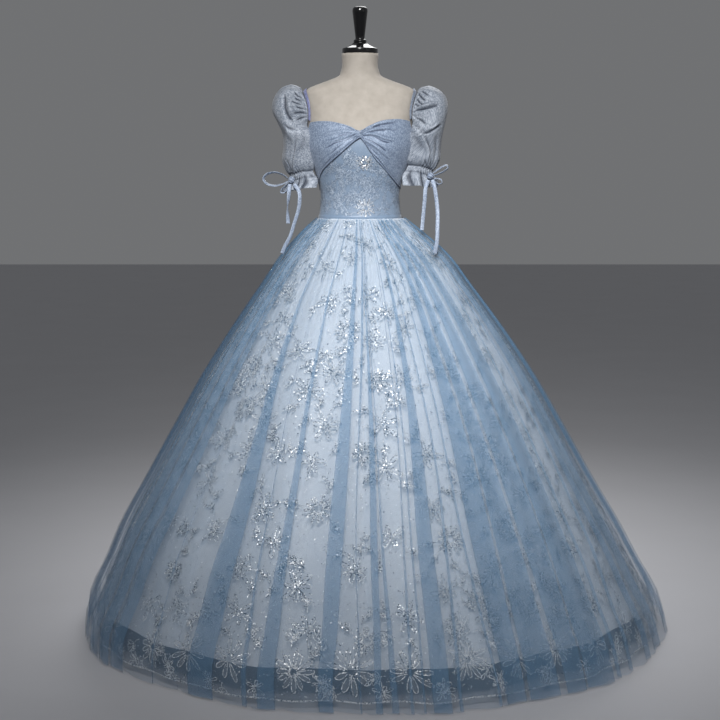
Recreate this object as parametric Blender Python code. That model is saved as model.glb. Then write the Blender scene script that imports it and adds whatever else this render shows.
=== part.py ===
"""A ball gown with puff sleeves, on the limbless dress form that it stands on.

Metres, +Z up. The gown faces -Y and +X is its wearer's left. The origin lies on the floor, under the
middle of the stand's base. A turn is an angle about Z, from the front (-Y) towards +X.

Cloth is a closed wall. Pieces that lie on the form are made from the form's own surface, moved out along
its normals. The skirts share one profile, from which each layer steps in by the depth of the folds
outside it, so no layer can meet the next one.
"""

import math
from collections import namedtuple

import bmesh
import bpy
import numpy as np

# ---------------------------------------------------------------- driving dimensions

NECK_TOP = 1.600
WAIST_SEAM = 1.150
FORM_BOTTOM = 0.900
SEAM_GAP = 0.0003

CLOTH_WALL = 0.0012
PANEL_CLEARANCE = 0.0022
CUP_CLEARANCE = 0.0044
ARMHOLE_CLEARANCE = 0.0066
SLEEVE_CLEARANCE = 0.0072

BASE_RADIUS = 0.210
BASE_HEIGHT = 0.018
POLE_RADIUS = 0.0125

HEM_HEIGHT = 0.006
GLITTER_HEM_HEIGHT = 0.018
LINING_HEM_HEIGHT = 0.090

RIBBON_WIDTH = 0.009
RIBBON_THICKNESS = 0.0022

# ---------------------------------------------------------------- short tables

# The form's level sections: half width, depth before and behind the middle, and how square it is.
Section = namedtuple("Section", "height half_width front back squareness")
FORM_SECTIONS = (
    Section(0.900, 0.152, 0.094, 0.108, 2.1),
    Section(0.912, 0.163, 0.101, 0.116, 2.1),
    Section(0.980, 0.164, 0.103, 0.120, 2.1),
    Section(1.040, 0.151, 0.101, 0.112, 2.1),
    Section(1.100, 0.128, 0.096, 0.097, 2.1),
    Section(1.150, 0.112, 0.090, 0.083, 2.1),
    Section(1.185, 0.1066, 0.086, 0.076, 2.1),
    Section(1.225, 0.1065, 0.088, 0.075, 2.1),
    Section(1.265, 0.1165, 0.095, 0.079, 2.15),
    Section(1.310, 0.1340, 0.103, 0.085, 2.2),
    Section(1.345, 0.1448, 0.106, 0.090, 2.3),
    Section(1.375, 0.1450, 0.103, 0.093, 2.4),
    Section(1.410, 0.1448, 0.095, 0.095, 2.5),
    Section(1.450, 0.1490, 0.083, 0.091, 2.5),
    Section(1.480, 0.1540, 0.073, 0.084, 2.5),
    Section(1.496, 0.1530, 0.067, 0.078, 2.5),
    Section(1.508, 0.1370, 0.063, 0.073, 2.4),
    Section(1.518, 0.1120, 0.060, 0.068, 2.3),
    Section(1.528, 0.0840, 0.058, 0.063, 2.15),
    Section(1.538, 0.0610, 0.0555, 0.057, 2.0),
    Section(1.552, 0.0530, 0.0530, 0.053, 2.0),
    Section(1.600, 0.0505, 0.0515, 0.0515, 2.0),
)
BUST_RISE, BUST_OUT, BUST_HEIGHT, BUST_SPREAD = 0.011, 0.070, 1.338, 0.052

# Edges of the bodice, as places across and up.
Place = namedtuple("Place", "across height")
NECKLINE = (
    Place(-0.138, 1.409),
    Place(-0.106, 1.413),
    Place(-0.064, 1.409),
    Place(-0.023, 1.396),
    Place(-0.001, 1.387),
    Place(0.020, 1.397),
    Place(0.048, 1.410),
    Place(0.088, 1.418),
    Place(0.134, 1.414),
)
CUP_EDGE_RIGHT = (
    Place(-0.001, 1.367),
    Place(-0.039, 1.339),
    Place(-0.078, 1.304),
    Place(-0.099, 1.281),
    Place(-0.1085, 1.252),
    Place(-0.1105, 1.226),
)
CUP_EDGE_LEFT = (
    Place(0.001, 1.367),
    Place(0.032, 1.326),
    Place(0.066, 1.284),
    Place(0.095, 1.247),
    Place(0.1105, 1.228),
)
# The armhole's edge on the bodice, as turns from the front in degrees, the same on both sides.
Edge = namedtuple("Edge", "turn height")
ARMHOLE = (
    Edge(64, 1.409),
    Edge(70, 1.393),
    Edge(76, 1.381),
    Edge(83, 1.372),
    Edge(90, 1.369),
    Edge(97, 1.372),
    Edge(104, 1.381),
    Edge(110, 1.391),
)
BACK_NECKLINE_HEIGHT = 1.391

# Broad folds of a cup, running out from the twist: where to, how wide and how high.
CupFold = namedtuple("CupFold", "across height width rise")
TWIST = Place(0.0, 1.377)
CUP_FOLDS_RIGHT = (
    CupFold(-0.060, 1.392, 0.008, 0.0016),
    CupFold(-0.070, 1.362, 0.008, 0.0020),
    CupFold(-0.060, 1.335, 0.009, 0.0016),
)
CUP_FOLDS_LEFT = (
    CupFold(0.066, 1.404, 0.008, 0.0016),
    CupFold(0.080, 1.374, 0.008, 0.0022),
    CupFold(0.060, 1.335, 0.009, 0.0018),
)

# The skirt's outermost line: radius, and how far its middle is moved towards +X.
Ring = namedtuple("Ring", "height radius shift")
SKIRT_PROFILE = (
    Ring(1.150, 0.1245, 0.002),
    Ring(1.110, 0.170, 0.006),
    Ring(1.060, 0.223, 0.012),
    Ring(0.960, 0.298, 0.016),
    Ring(0.845, 0.381, 0.019),
    Ring(0.713, 0.468, 0.021),
    Ring(0.592, 0.538, 0.022),
    Ring(0.395, 0.649, 0.022),
    Ring(0.285, 0.713, 0.024),
    Ring(0.175, 0.766, 0.030),
    Ring(0.090, 0.812, 0.034),
    Ring(0.000, 0.829, 0.044),
)
SKIRT_ROWS = (1.1495, 1.112, 1.045, 0.860, 0.560, 0.110)

# How the folds deepen from the waist down: half depth of each layer's folds, and the gaps between layers.
Depth = namedtuple("Depth", "height outer outer_gap glitter glitter_gap lining")
FOLD_DEPTHS = (
    Depth(0.000, 0.0130, 0.0060, 0.0070, 0.0090, 0.0060),
    Depth(0.300, 0.0105, 0.0055, 0.0055, 0.0075, 0.0050),
    Depth(0.700, 0.0075, 0.0050, 0.0045, 0.0060, 0.0040),
    Depth(1.000, 0.0045, 0.0040, 0.0025, 0.0040, 0.0025),
    Depth(1.100, 0.0026, 0.0030, 0.0014, 0.0030, 0.0014),
    Depth(1.150, 0.0012, 0.0018, 0.0006, 0.0018, 0.0004),
)
# The skirt's largest folds: where, how wide, and how far they stand out (+) or in (-) at the hem.
MainFold = namedtuple("MainFold", "turn width rise")
MAIN_FOLDS = (
    MainFold(-152, 9, -0.010),
    MainFold(-118, 8, 0.008),
    MainFold(-84, 7, -0.009),
    MainFold(-61, 8, 0.010),
    MainFold(-38, 5, -0.010),
    MainFold(-21, 5, 0.009),
    MainFold(-6, 3, -0.007),
    MainFold(11, 4, 0.008),
    MainFold(27, 5, -0.010),
    MainFold(45, 6, 0.010),
    MainFold(68, 6, -0.009),
    MainFold(95, 8, 0.009),
    MainFold(129, 8, -0.010),
    MainFold(165, 8, 0.008),
)
OUTER_FOLDS, GLITTER_FOLDS, LINING_FOLDS = 48, 26, 16
STEPS_PER_FOLD = 3
MAIN_FOLDS_START = 1.10
LEAST_LAST_ROW = 0.05
ROUND_BELOW_WAIST = 0.22

# A sleeve's rings past its armhole: the outer line, the height of the line that faces the bodice, how far
# that line stands off, half the depth front to back, and the half depth of the gathers.
Puff = namedtuple("Puff", "outer_x outer_z inner_z stand_off half_depth gather")
SLEEVE_RIGHT = (
    Puff(0.166, 1.508, 1.364, 0.0004, 0.050, 0.0020),
    Puff(0.191, 1.516, 1.357, 0.0000, 0.056, 0.0030),
    Puff(0.218, 1.506, 1.349, 0.0000, 0.061, 0.0030),
    Puff(0.237, 1.478, 1.341, 0.0000, 0.064, 0.0020),
    Puff(0.242, 1.445, 1.332, 0.0000, 0.063, 0.0010),
    Puff(0.228, 1.412, 1.324, 0.0005, 0.060, 0.0005),
    Puff(0.214, 1.382, 1.316, 0.0010, 0.057, 0.0005),
    Puff(0.211, 1.346, 1.306, 0.0015, 0.055, 0.0010),
    Puff(0.216, 1.308, 1.297, 0.0030, 0.053, 0.0020),
    Puff(0.207, 1.280, 1.288, 0.0040, 0.046, 0.0030),
    Puff(0.194, 1.260, 1.279, 0.0060, 0.036, 0.0026),
    Puff(0.207, 1.238, 1.260, 0.0010, 0.044, 0.0040),
    Puff(0.216, 1.222, 1.238, 0.0120, 0.050, 0.0050),
)
SLEEVE_LEFT = (
    Puff(0.166, 1.507, 1.364, 0.0004, 0.050, 0.0020),
    Puff(0.191, 1.514, 1.357, 0.0000, 0.056, 0.0030),
    Puff(0.218, 1.503, 1.349, 0.0000, 0.062, 0.0030),
    Puff(0.237, 1.482, 1.341, 0.0000, 0.064, 0.0020),
    Puff(0.244, 1.452, 1.332, 0.0000, 0.063, 0.0010),
    Puff(0.238, 1.416, 1.324, 0.0005, 0.060, 0.0005),
    Puff(0.229, 1.382, 1.318, 0.0010, 0.057, 0.0005),
    Puff(0.224, 1.346, 1.312, 0.0010, 0.055, 0.0010),
    Puff(0.224, 1.312, 1.306, 0.0015, 0.053, 0.0020),
    Puff(0.214, 1.290, 1.302, 0.0020, 0.046, 0.0030),
    Puff(0.202, 1.272, 1.296, 0.0020, 0.036, 0.0026),
    Puff(0.214, 1.254, 1.270, 0.0010, 0.045, 0.0040),
    Puff(0.216, 1.235, 1.242, 0.0120, 0.052, 0.0050),
)
SLEEVE_GATHERS = 10
STEPS_PER_GATHER = 3
FRONT_GATHERS = 0.35
# The armhole is a cone's line on the form: its point, and the cone's angle from the upright.
ARM_POINT = (0.110, 0.0, 1.434)
ARM_CONE = 37.5
STRAP_INNER_CONE, STRAP_OUTER_CONE = 27.5, 38.0
STRAP_BACK_END = 124.0

# The drawstrings' routes: across, along y, height and the ribbon's own turn in degrees.
Bend = namedtuple("Bend", "x y z turn")
KNOT_RIGHT = Bend(-0.189, -0.042, 1.255, 0)
KNOT_LEFT = Bend(0.194, -0.044, 1.266, 0)
KNOT_SIZE = (0.0085, 0.0065, 0.0080)
LOOPS = {
    "drawstring_loop_right_large": (
        Bend(-0.1995, -0.041, 1.2590, 75),
        Bend(-0.213, -0.045, 1.2690, 70),
        Bend(-0.234, -0.048, 1.2755, 65),
        Bend(-0.255, -0.049, 1.2710, 60),
        Bend(-0.2655, -0.049, 1.2585, 60),
        Bend(-0.256, -0.049, 1.2450, 60),
        Bend(-0.236, -0.048, 1.2395, 65),
        Bend(-0.214, -0.045, 1.2440, 70),
        Bend(-0.1990, -0.041, 1.2510, 75),
    ),
    "drawstring_loop_right_small": (
        Bend(-0.2000, -0.049, 1.2440, 75),
        Bend(-0.207, -0.052, 1.2370, 75),
        Bend(-0.215, -0.053, 1.2290, 75),
        Bend(-0.217, -0.052, 1.2210, 75),
        Bend(-0.209, -0.050, 1.2210, 75),
        Bend(-0.203, -0.048, 1.2280, 75),
        Bend(-0.1975, -0.046, 1.2370, 75),
    ),
    "drawstring_loop_left_large": (
        Bend(0.2010, -0.042, 1.2745, 75),
        Bend(0.213, -0.046, 1.2830, 70),
        Bend(0.226, -0.050, 1.2915, 70),
        Bend(0.238, -0.053, 1.2955, 70),
        Bend(0.2415, -0.054, 1.2870, 70),
        Bend(0.230, -0.053, 1.2780, 70),
        Bend(0.216, -0.048, 1.2710, 70),
        Bend(0.2045, -0.042, 1.2665, 75),
    ),
    "drawstring_loop_left_small": (
        Bend(0.2050, -0.046, 1.2600, 75),
        Bend(0.214, -0.051, 1.2590, 75),
        Bend(0.223, -0.054, 1.2560, 75),
        Bend(0.226, -0.054, 1.2470, 75),
        Bend(0.217, -0.052, 1.2430, 75),
        Bend(0.208, -0.049, 1.2470, 75),
        Bend(0.2030, -0.045, 1.2530, 75),
    ),
}
TAILS = {
    "drawstring_tail_right_outer": (
        Bend(-0.193, -0.054, 1.2440, 0),
        Bend(-0.195, -0.060, 1.222, 10),
        Bend(-0.197, -0.059, 1.200, 45),
        Bend(-0.199, -0.057, 1.180, 80),
        Bend(-0.199, -0.058, 1.158, 40),
        Bend(-0.198, -0.060, 1.136, 10),
    ),
    "drawstring_tail_right_inner": (
        Bend(-0.181, -0.054, 1.2440, 0),
        Bend(-0.167, -0.062, 1.222, 10),
        Bend(-0.166, -0.066, 1.195, 20),
        Bend(-0.170, -0.068, 1.170, 25),
        Bend(-0.180, -0.074, 1.138, 30),
        Bend(-0.191, -0.084, 1.103, 30),
        Bend(-0.204, -0.100, 1.078, 30),
        Bend(-0.213, -0.115, 1.057, 25),
    ),
    "drawstring_tail_left_inner": (
        Bend(0.188, -0.054, 1.2555, 0),
        Bend(0.180, -0.062, 1.232, 0),
        Bend(0.178, -0.066, 1.205, 5),
        Bend(0.175, -0.068, 1.170, 10),
        Bend(0.172, -0.072, 1.140, 10),
        Bend(0.170, -0.078, 1.118, 10),
    ),
    "drawstring_tail_left_outer": (
        Bend(0.199, -0.054, 1.2555, 0),
        Bend(0.205, -0.061, 1.234, -5),
        Bend(0.210, -0.066, 1.200, -10),
        Bend(0.213, -0.074, 1.164, -10),
        Bend(0.212, -0.088, 1.125, -5),
        Bend(0.210, -0.108, 1.090, 0),
        Bend(0.203, -0.137, 1.058, 5),
    ),
}

# Turned pieces, as radius and height, from the axis at the bottom round to the axis at the top.
Turned = namedtuple("Turned", "radius height")
CAP_PROFILE = (
    Turned(0.0480, 1.6003),
    Turned(0.0490, 1.6040),
    Turned(0.0490, 1.6120),
    Turned(0.0470, 1.6145),
    Turned(0.0230, 1.6245),
    Turned(0.0205, 1.6290),
)
HANDLE_PROFILE = (
    Turned(0.0150, 1.6293),
    Turned(0.0175, 1.6320),
    Turned(0.0175, 1.6360),
    Turned(0.0130, 1.6390),
    Turned(0.0135, 1.6500),
    Turned(0.0200, 1.7050),
    Turned(0.0212, 1.7160),
    Turned(0.0195, 1.7230),
    Turned(0.0120, 1.7270),
)
BASE_PROFILE = (
    Turned(BASE_RADIUS - 0.004, 0.0),
    Turned(BASE_RADIUS, 0.003),
    Turned(BASE_RADIUS, 0.010),
    Turned(BASE_RADIUS - 0.010, BASE_HEIGHT),
)
POLE_PROFILE = (
    Turned(POLE_RADIUS, BASE_HEIGHT + SEAM_GAP),
    Turned(POLE_RADIUS, FORM_BOTTOM - SEAM_GAP),
)

# Colour (linear), roughness and metallic value of each material.
Finish = namedtuple("Finish", "colour roughness metallic")
LINEN = Finish((0.56, 0.52, 0.45), 0.85, 0.0)
BLACK_GLOSS = Finish((0.012, 0.012, 0.013), 0.25, 0.0)
STEEL = Finish((0.45, 0.46, 0.48), 0.35, 1.0)
SATIN = Finish((0.30, 0.40, 0.58), 0.45, 0.0)
LUREX = Finish((0.27, 0.33, 0.47), 0.50, 0.1)
VIOLET = Finish((0.21, 0.22, 0.43), 0.50, 0.0)
TULLE = Finish((0.33, 0.43, 0.60), 0.70, 0.0)
GLITTER_TULLE = Finish((0.42, 0.50, 0.64), 0.55, 0.1)
WHITE_SATIN = Finish((0.70, 0.74, 0.83), 0.45, 0.0)


# ---------------------------------------------------------------- curves and surfaces

NORMAL_STEP = 1e-3
FARTHEST = 0.30
HALVINGS = 40


def smooth(knots, values, at):
    """A smooth curve through (knots, values), read at the given places. Knots run upwards."""
    knots = np.asarray(knots, float)
    values = np.asarray(values, float)
    at = np.clip(at, knots[0], knots[-1])
    slopes = np.gradient(values, knots)
    index = np.clip(np.searchsorted(knots, at) - 1, 0, len(knots) - 2)
    span = knots[index + 1] - knots[index]
    t = (at - knots[index]) / span
    rise = values[index] * (2 * t**3 - 3 * t**2 + 1) + values[index + 1] * (3 * t**2 - 2 * t**3)
    bend = slopes[index] * (t**3 - 2 * t**2 + t) + slopes[index + 1] * (t**3 - t**2)
    return rise + bend * span


def column(table, name):
    return np.array([getattr(row, name) for row in table], float)


def read(table, name, at, key="height"):
    """One column of a table, as a smooth function of another one."""
    keys = column(table, key)
    order = np.argsort(keys)
    return smooth(keys[order], column(table, name)[order], at)


def power(value, exponent):
    return np.sign(value) * np.abs(value) ** exponent


def form_point(turn, height):
    """The dress form's surface at a turn and a height."""
    sine, cosine = np.sin(turn), np.cos(turn)
    exponent = 2 / read(FORM_SECTIONS, "squareness", height)
    depth = np.where(cosine > 0, read(FORM_SECTIONS, "front", height), read(FORM_SECTIONS, "back", height))
    x = read(FORM_SECTIONS, "half_width", height) * power(sine, exponent)
    y = -depth * power(cosine, exponent)
    bust = np.exp(-(((np.abs(x) - BUST_OUT) / BUST_SPREAD) ** 2))
    bust = bust * np.exp(-(((height - BUST_HEIGHT) / BUST_SPREAD) ** 2))
    y = y - BUST_RISE * bust * np.clip(cosine, 0, 1)
    return np.stack(np.broadcast_arrays(x, y, height), axis=-1)


def form_surface(turn, height, out):
    """The form's surface moved out along its normals."""
    turn, height, out = np.broadcast_arrays(turn, height, out)
    round_it = form_point(turn + NORMAL_STEP, height) - form_point(turn - NORMAL_STEP, height)
    up_it = form_point(turn, height + NORMAL_STEP) - form_point(turn, height - NORMAL_STEP)
    normal = np.cross(round_it, up_it)
    normal /= np.linalg.norm(normal, axis=-1, keepdims=True)
    return form_point(turn, height) + normal * out[..., None]


def turn_at(across, height):
    """The front turn at which the form's surface passes a place across."""
    share = np.clip(np.abs(across) / read(FORM_SECTIONS, "half_width", height), 0, 1)
    squareness = read(FORM_SECTIONS, "squareness", height)
    return np.sign(across) * np.arcsin(share ** (squareness / 2))


def form_distance(direction, start):
    """How far the form's surface lies from a point inside it, along each direction."""
    near = np.zeros(direction.shape[:-1])
    far = np.full(direction.shape[:-1], FARTHEST)
    for _ in range(HALVINGS):
        middle = (near + far) / 2
        place = start + direction * middle[..., None]
        height = np.clip(place[..., 2], FORM_BOTTOM, NECK_TOP)
        width = read(FORM_SECTIONS, "half_width", height)
        front, back = read(FORM_SECTIONS, "front", height), read(FORM_SECTIONS, "back", height)
        depth = np.where(place[..., 1] < 0, front, back)
        squareness = read(FORM_SECTIONS, "squareness", height)
        level = np.abs(place[..., 0] / width) ** squareness + np.abs(place[..., 1] / depth) ** squareness
        inside = level < 1
        near = np.where(inside, middle, near)
        far = np.where(inside, far, middle)
    return near


def arm_cone(side, around, angle, out):
    """A line round the arm's end of the form: 0 is on the shoulder and 90 degrees at the front."""
    around, angle = np.broadcast_arrays(around, angle)
    start = np.array(ARM_POINT) * (side, 1, 1)
    across, along = np.sin(angle), np.cos(angle)
    direction = np.stack((side * across, -along * np.sin(around), along * np.cos(around)), axis=-1)
    return start + direction * (form_distance(direction, start) + out)[..., None]


def normals_of(grid, closed):
    """Unit normals of a grid of points, by central differences; closed joins its last column to its first."""
    if closed:
        along = np.roll(grid, -1, axis=1) - np.roll(grid, 1, axis=1)
    else:
        along = np.gradient(grid, axis=1)
    normal = np.cross(along, np.gradient(grid, axis=0))
    return normal / np.linalg.norm(normal, axis=-1, keepdims=True)


# ---------------------------------------------------------------- solids


def material_of(name, finish):
    material = bpy.data.materials.new(name)
    material.use_nodes = True
    shader = material.node_tree.nodes["Principled BSDF"]
    shader.inputs["Base Color"].default_value = (*finish.colour, 1)
    shader.inputs["Roughness"].default_value = finish.roughness
    shader.inputs["Metallic"].default_value = finish.metallic
    material.diffuse_color = (*finish.colour, 1)
    return material


def solid(name, points, faces, finish):
    """An object with its own mesh and material, its faces turned outwards."""
    mesh = bpy.data.meshes.new(name)
    mesh.from_pydata(np.asarray(points).tolist(), [], faces)
    work = bmesh.new()
    work.from_mesh(mesh)
    bmesh.ops.recalc_face_normals(work, faces=work.faces)
    work.to_mesh(mesh)
    work.free()
    mesh.shade_smooth()
    mesh.set_sharp_from_angle(angle=math.radians(50))
    mesh.materials.append(material_of(name, finish))
    thing = bpy.data.objects.new(name, mesh)
    bpy.context.scene.collection.objects.link(thing)


def two_triangles(a, b, c, d):
    return [(a, b, c), (a, c, d)]


def wall(name, inside, outside, finish, closed):
    """A closed wall between two grids of points. Both are cut along the same diagonals, so they can't cross."""
    rows, columns = inside.shape[:2]
    points = np.concatenate((inside.reshape(-1, 3), outside.reshape(-1, 3)))
    outer = rows * columns
    last = columns if closed else columns - 1
    faces = []
    for i in range(rows - 1):
        for j in range(last):
            a, b = i * columns + j, i * columns + (j + 1) % columns
            faces += two_triangles(a, a + columns, b + columns, b)
            faces += two_triangles(outer + a, outer + b, outer + b + columns, outer + a + columns)
    for j in range(last):
        for i, flip in ((0, False), (rows - 1, True)):
            a, b = i * columns + j, i * columns + (j + 1) % columns
            ring = (outer + a, a, b, outer + b) if flip else (a, outer + a, outer + b, b)
            faces += two_triangles(*ring)
    if not closed:
        for i in range(rows - 1):
            for j, flip in ((0, True), (columns - 1, False)):
                a, b = i * columns + j, (i + 1) * columns + j
                ring = (outer + a, a, b, outer + b) if flip else (a, outer + a, outer + b, b)
                faces += two_triangles(*ring)
    solid(name, points, faces, finish)


def stacked(name, rings, finish):
    """A closed solid through rings with the same number of points, with a flat cap at each end."""
    rows, columns = rings.shape[:2]
    faces = [tuple(range(columns)), tuple(range((rows - 1) * columns, rows * columns))]
    for i in range(rows - 1):
        for j in range(columns):
            a, b = i * columns + j, i * columns + (j + 1) % columns
            faces += two_triangles(a, b, b + columns, a + columns)
    solid(name, rings.reshape(-1, 3), faces, finish)


def turned(name, profile, finish, columns):
    """A solid turned about the form's axis."""
    around = np.linspace(0, 2 * np.pi, columns, endpoint=False)
    radius, height = column(profile, "radius")[:, None], column(profile, "height")[:, None]
    rings = np.stack(np.broadcast_arrays(radius * np.cos(around), radius * np.sin(around), height), axis=-1)
    stacked(name, rings, finish)


def ribbon(name, route, finish, steps):
    """A flat ribbon along a route, turned about its own line as the route says."""
    knots = np.arange(len(route), dtype=float)
    at = np.linspace(0, knots[-1], steps)
    middle = np.stack([smooth(knots, column(route, axis), at) for axis in "xyz"], axis=-1)
    turn = np.radians(smooth(knots, column(route, "turn"), at))[:, None]
    along = np.gradient(middle, axis=0)
    along /= np.linalg.norm(along, axis=1, keepdims=True)
    forward = np.array((0.0, -1.0, 0.0)) - along * (along @ (0.0, -1.0, 0.0))[:, None]
    forward /= np.linalg.norm(forward, axis=1, keepdims=True)
    sideways = np.cross(along, forward)
    across = (sideways * np.cos(turn) + forward * np.sin(turn)) * RIBBON_WIDTH / 2
    through = (forward * np.cos(turn) - sideways * np.sin(turn)) * RIBBON_THICKNESS / 2
    corners = (across + through, across - through, -across - through, -across + through)
    rings = np.stack([middle + corner for corner in corners], axis=1)
    stacked(name, rings, finish)


# ---------------------------------------------------------------- the dress form and its stand


def build_form():
    around = np.linspace(0, 2 * np.pi, 36, endpoint=False)
    heights = np.array([section.height for section in FORM_SECTIONS])
    rings = form_point(around[None, :], heights[:, None])
    stacked("form_torso", rings, LINEN)
    turned("form_neck_cap", CAP_PROFILE, BLACK_GLOSS, 20)
    turned("form_handle", HANDLE_PROFILE, BLACK_GLOSS, 12)
    turned("stand_pole", POLE_PROFILE, STEEL, 12)
    turned("stand_base", BASE_PROFILE, BLACK_GLOSS, 32)


# ---------------------------------------------------------------- the bodice

SIDE_TURN = math.radians(89.92)
FRONT_TURN = math.radians(0.12)
TOP_SET_BACK = 0.003
ZIP_HALF_WIDTH = 0.0040
ZIP_GAP = 0.0004


def bodice_top(turn):
    """The bodice's upper edge at each turn: the neckline, then the armhole."""
    heights = column(NECKLINE, "height")
    turns = turn_at(column(NECKLINE, "across"), heights)
    front = smooth(turns, heights, turn)
    armhole = smooth(np.radians(column(ARMHOLE, "turn")), column(ARMHOLE, "height"), np.abs(turn))
    return np.where(np.abs(turn) > math.radians(ARMHOLE[0].turn), armhole, front)


def cup_edge(table, turn):
    """The lower edge of a cup at each turn."""
    heights = column(table, "height")
    turns = np.abs(turn_at(column(table, "across"), heights))
    return smooth(turns, heights, np.abs(turn))


def cup_folds(points, folds):
    """How far the cup's folds stand up at each point."""
    rise = np.zeros(points.shape[:-1])
    start = np.array((TWIST.across, TWIST.height))
    place = points[..., (0, 2)]
    for fold in folds:
        run = np.array((fold.across, fold.height)) - start
        length = np.linalg.norm(run)
        run /= length
        along = (place - start) @ run
        aside = (place - start) @ np.array((-run[1], run[0]))
        fade = np.clip(1 - (along / length) ** 2, 0, 1) * (along > 0)
        rise += fold.rise * fade * np.exp(-((aside / fold.width) ** 2))
    return rise


def build_cup(name, side, edge, folds):
    """A cup, from the twist at the middle front to the side seam, draped over the front panel."""
    turns = side * np.linspace(FRONT_TURN, SIDE_TURN, 17)
    low, high = cup_edge(edge, turns), bodice_top(turns)
    share = np.linspace(0, 1, 8)[:, None]
    heights = low + (high - low) * share
    rise = cup_folds(form_point(turns, heights), folds)
    # Under a fold the cloth stands half as high inside as outside.
    inside = form_surface(turns, heights, CUP_CLEARANCE + rise / 2)
    outside = form_surface(turns, heights, CUP_CLEARANCE + CLOTH_WALL + rise)
    wall(name, inside, outside, LUREX, closed=False)


def build_bodice():
    # The front panel runs behind the cups, to just under the neckline.
    turns = np.linspace(-SIDE_TURN, SIDE_TURN, 29)
    share = np.linspace(0, 1, 10)[:, None]
    heights = WAIST_SEAM + (bodice_top(turns) - TOP_SET_BACK - WAIST_SEAM) * share
    inside = form_surface(turns, heights, PANEL_CLEARANCE)
    outside = form_surface(turns, heights, PANEL_CLEARANCE + CLOTH_WALL)
    wall("bodice_front", inside, outside, SATIN, closed=False)

    for name, side in (("bodice_back_right", -1), ("bodice_back_left", 1)):
        share_up = np.linspace(0, 1, 8)[:, None]
        share_round = np.linspace(0, 1, 11)
        start = math.pi - SIDE_TURN
        coarse = start + (math.pi - start) * share_round
        armhole = smooth(np.radians(column(ARMHOLE, "turn")), column(ARMHOLE, "height"), coarse)
        past_armhole = coarse > math.radians(ARMHOLE[-1].turn)
        top = np.where(past_armhole, BACK_NECKLINE_HEIGHT, armhole)
        heights = WAIST_SEAM + (top - WAIST_SEAM) * share_up
        # The last column runs straight up beside the zip.
        end = math.pi - turn_at(ZIP_HALF_WIDTH + ZIP_GAP, heights)
        turns = side * (start + (end - start) * share_round)
        inside = form_surface(turns, heights, PANEL_CLEARANCE)
        outside = form_surface(turns, heights, PANEL_CLEARANCE + CLOTH_WALL)
        wall(name, inside, outside, SATIN, closed=False)

    heights = np.linspace(WAIST_SEAM, BACK_NECKLINE_HEIGHT, 7)[:, None]
    turns = math.pi - turn_at(np.array((-ZIP_HALF_WIDTH, ZIP_HALF_WIDTH)), heights)
    inside = form_surface(turns, heights, PANEL_CLEARANCE)
    outside = form_surface(turns, heights, PANEL_CLEARANCE + CLOTH_WALL)
    wall("bodice_zip", inside, outside, SATIN, closed=False)

    build_cup("bodice_cup_right", -1, CUP_EDGE_RIGHT, CUP_FOLDS_RIGHT)
    build_cup("bodice_cup_left", 1, CUP_EDGE_LEFT, CUP_FOLDS_LEFT)


def build_strap(name, side, front_end):
    """A shoulder strap, from the neckline's corner over the shoulder to the back."""
    around = np.radians(np.linspace(front_end, -STRAP_BACK_END, 18))[:, None]
    cone = np.radians(np.linspace(STRAP_INNER_CONE, STRAP_OUTER_CONE, 3))
    inside = arm_cone(side, around, cone, PANEL_CLEARANCE)
    outside = arm_cone(side, around, cone, PANEL_CLEARANCE + CLOTH_WALL)
    wall(name, inside, outside, VIOLET, closed=False)


# ---------------------------------------------------------------- the sleeves


def sleeve_grid(side, table):
    """Rings of a sleeve from its armhole to the frill's hem, the middle of its wall."""
    around = np.linspace(0, 2 * np.pi, SLEEVE_GATHERS * STEPS_PER_GATHER, endpoint=False)
    armhole = arm_cone(side, around, np.radians(ARM_CONE), ARMHOLE_CLEARANCE)
    rings = [armhole]
    gathers = np.cos(SLEEVE_GATHERS * around)
    for puff in table:
        inner_x = read(FORM_SECTIONS, "half_width", puff.inner_z) + SLEEVE_CLEARANCE + puff.stand_off
        outer = np.array((side * puff.outer_x, 0.0, puff.outer_z))
        inner = np.array((side * inner_x, 0.0, puff.inner_z))
        middle, reach = (outer + inner) / 2, (outer - inner) / 2
        # The gathers lie on the side away from the bodice.
        free = (1 + np.cos(around)) / 2 + FRONT_GATHERS * np.sin(around) ** 2
        swell = 1 - puff.gather * free * (1 - gathers) / np.linalg.norm(reach)
        front = np.array((0.0, -puff.half_depth, 0.0))
        ring = np.cos(around)[:, None] * reach + np.sin(around)[:, None] * front
        rings.append(middle + ring * swell[:, None])
    return np.array(rings)


def build_sleeve(name, side, table):
    grid = sleeve_grid(side, table)
    normal = normals_of(grid, closed=True) * CLOTH_WALL / 2
    wall(name, grid - normal, grid + normal, LUREX, closed=True)


def build_knot(name, knot):
    """A drawstring's knot, a small rounded lump."""
    around = np.linspace(0, 2 * np.pi, 8, endpoint=False)
    up = np.radians(np.linspace(-75, 75, 6))[:, None]
    ball = (np.cos(up) * np.cos(around), np.cos(up) * np.sin(around), np.sin(up) + 0 * around)
    stacked(name, np.array((knot.x, knot.y, knot.z)) + np.stack(ball, axis=-1) * KNOT_SIZE, LUREX)


def build_sleeves():
    build_strap("strap_right", -1, 111.0)
    build_strap("strap_left", 1, 106.0)
    build_sleeve("sleeve_right", -1, SLEEVE_RIGHT)
    build_sleeve("sleeve_left", 1, SLEEVE_LEFT)
    build_knot("drawstring_knot_right", KNOT_RIGHT)
    build_knot("drawstring_knot_left", KNOT_LEFT)
    for name, route in (LOOPS | TAILS).items():
        ribbon(name, route, LUREX, 2 * len(route) + 1)


# ---------------------------------------------------------------- the skirts


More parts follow.
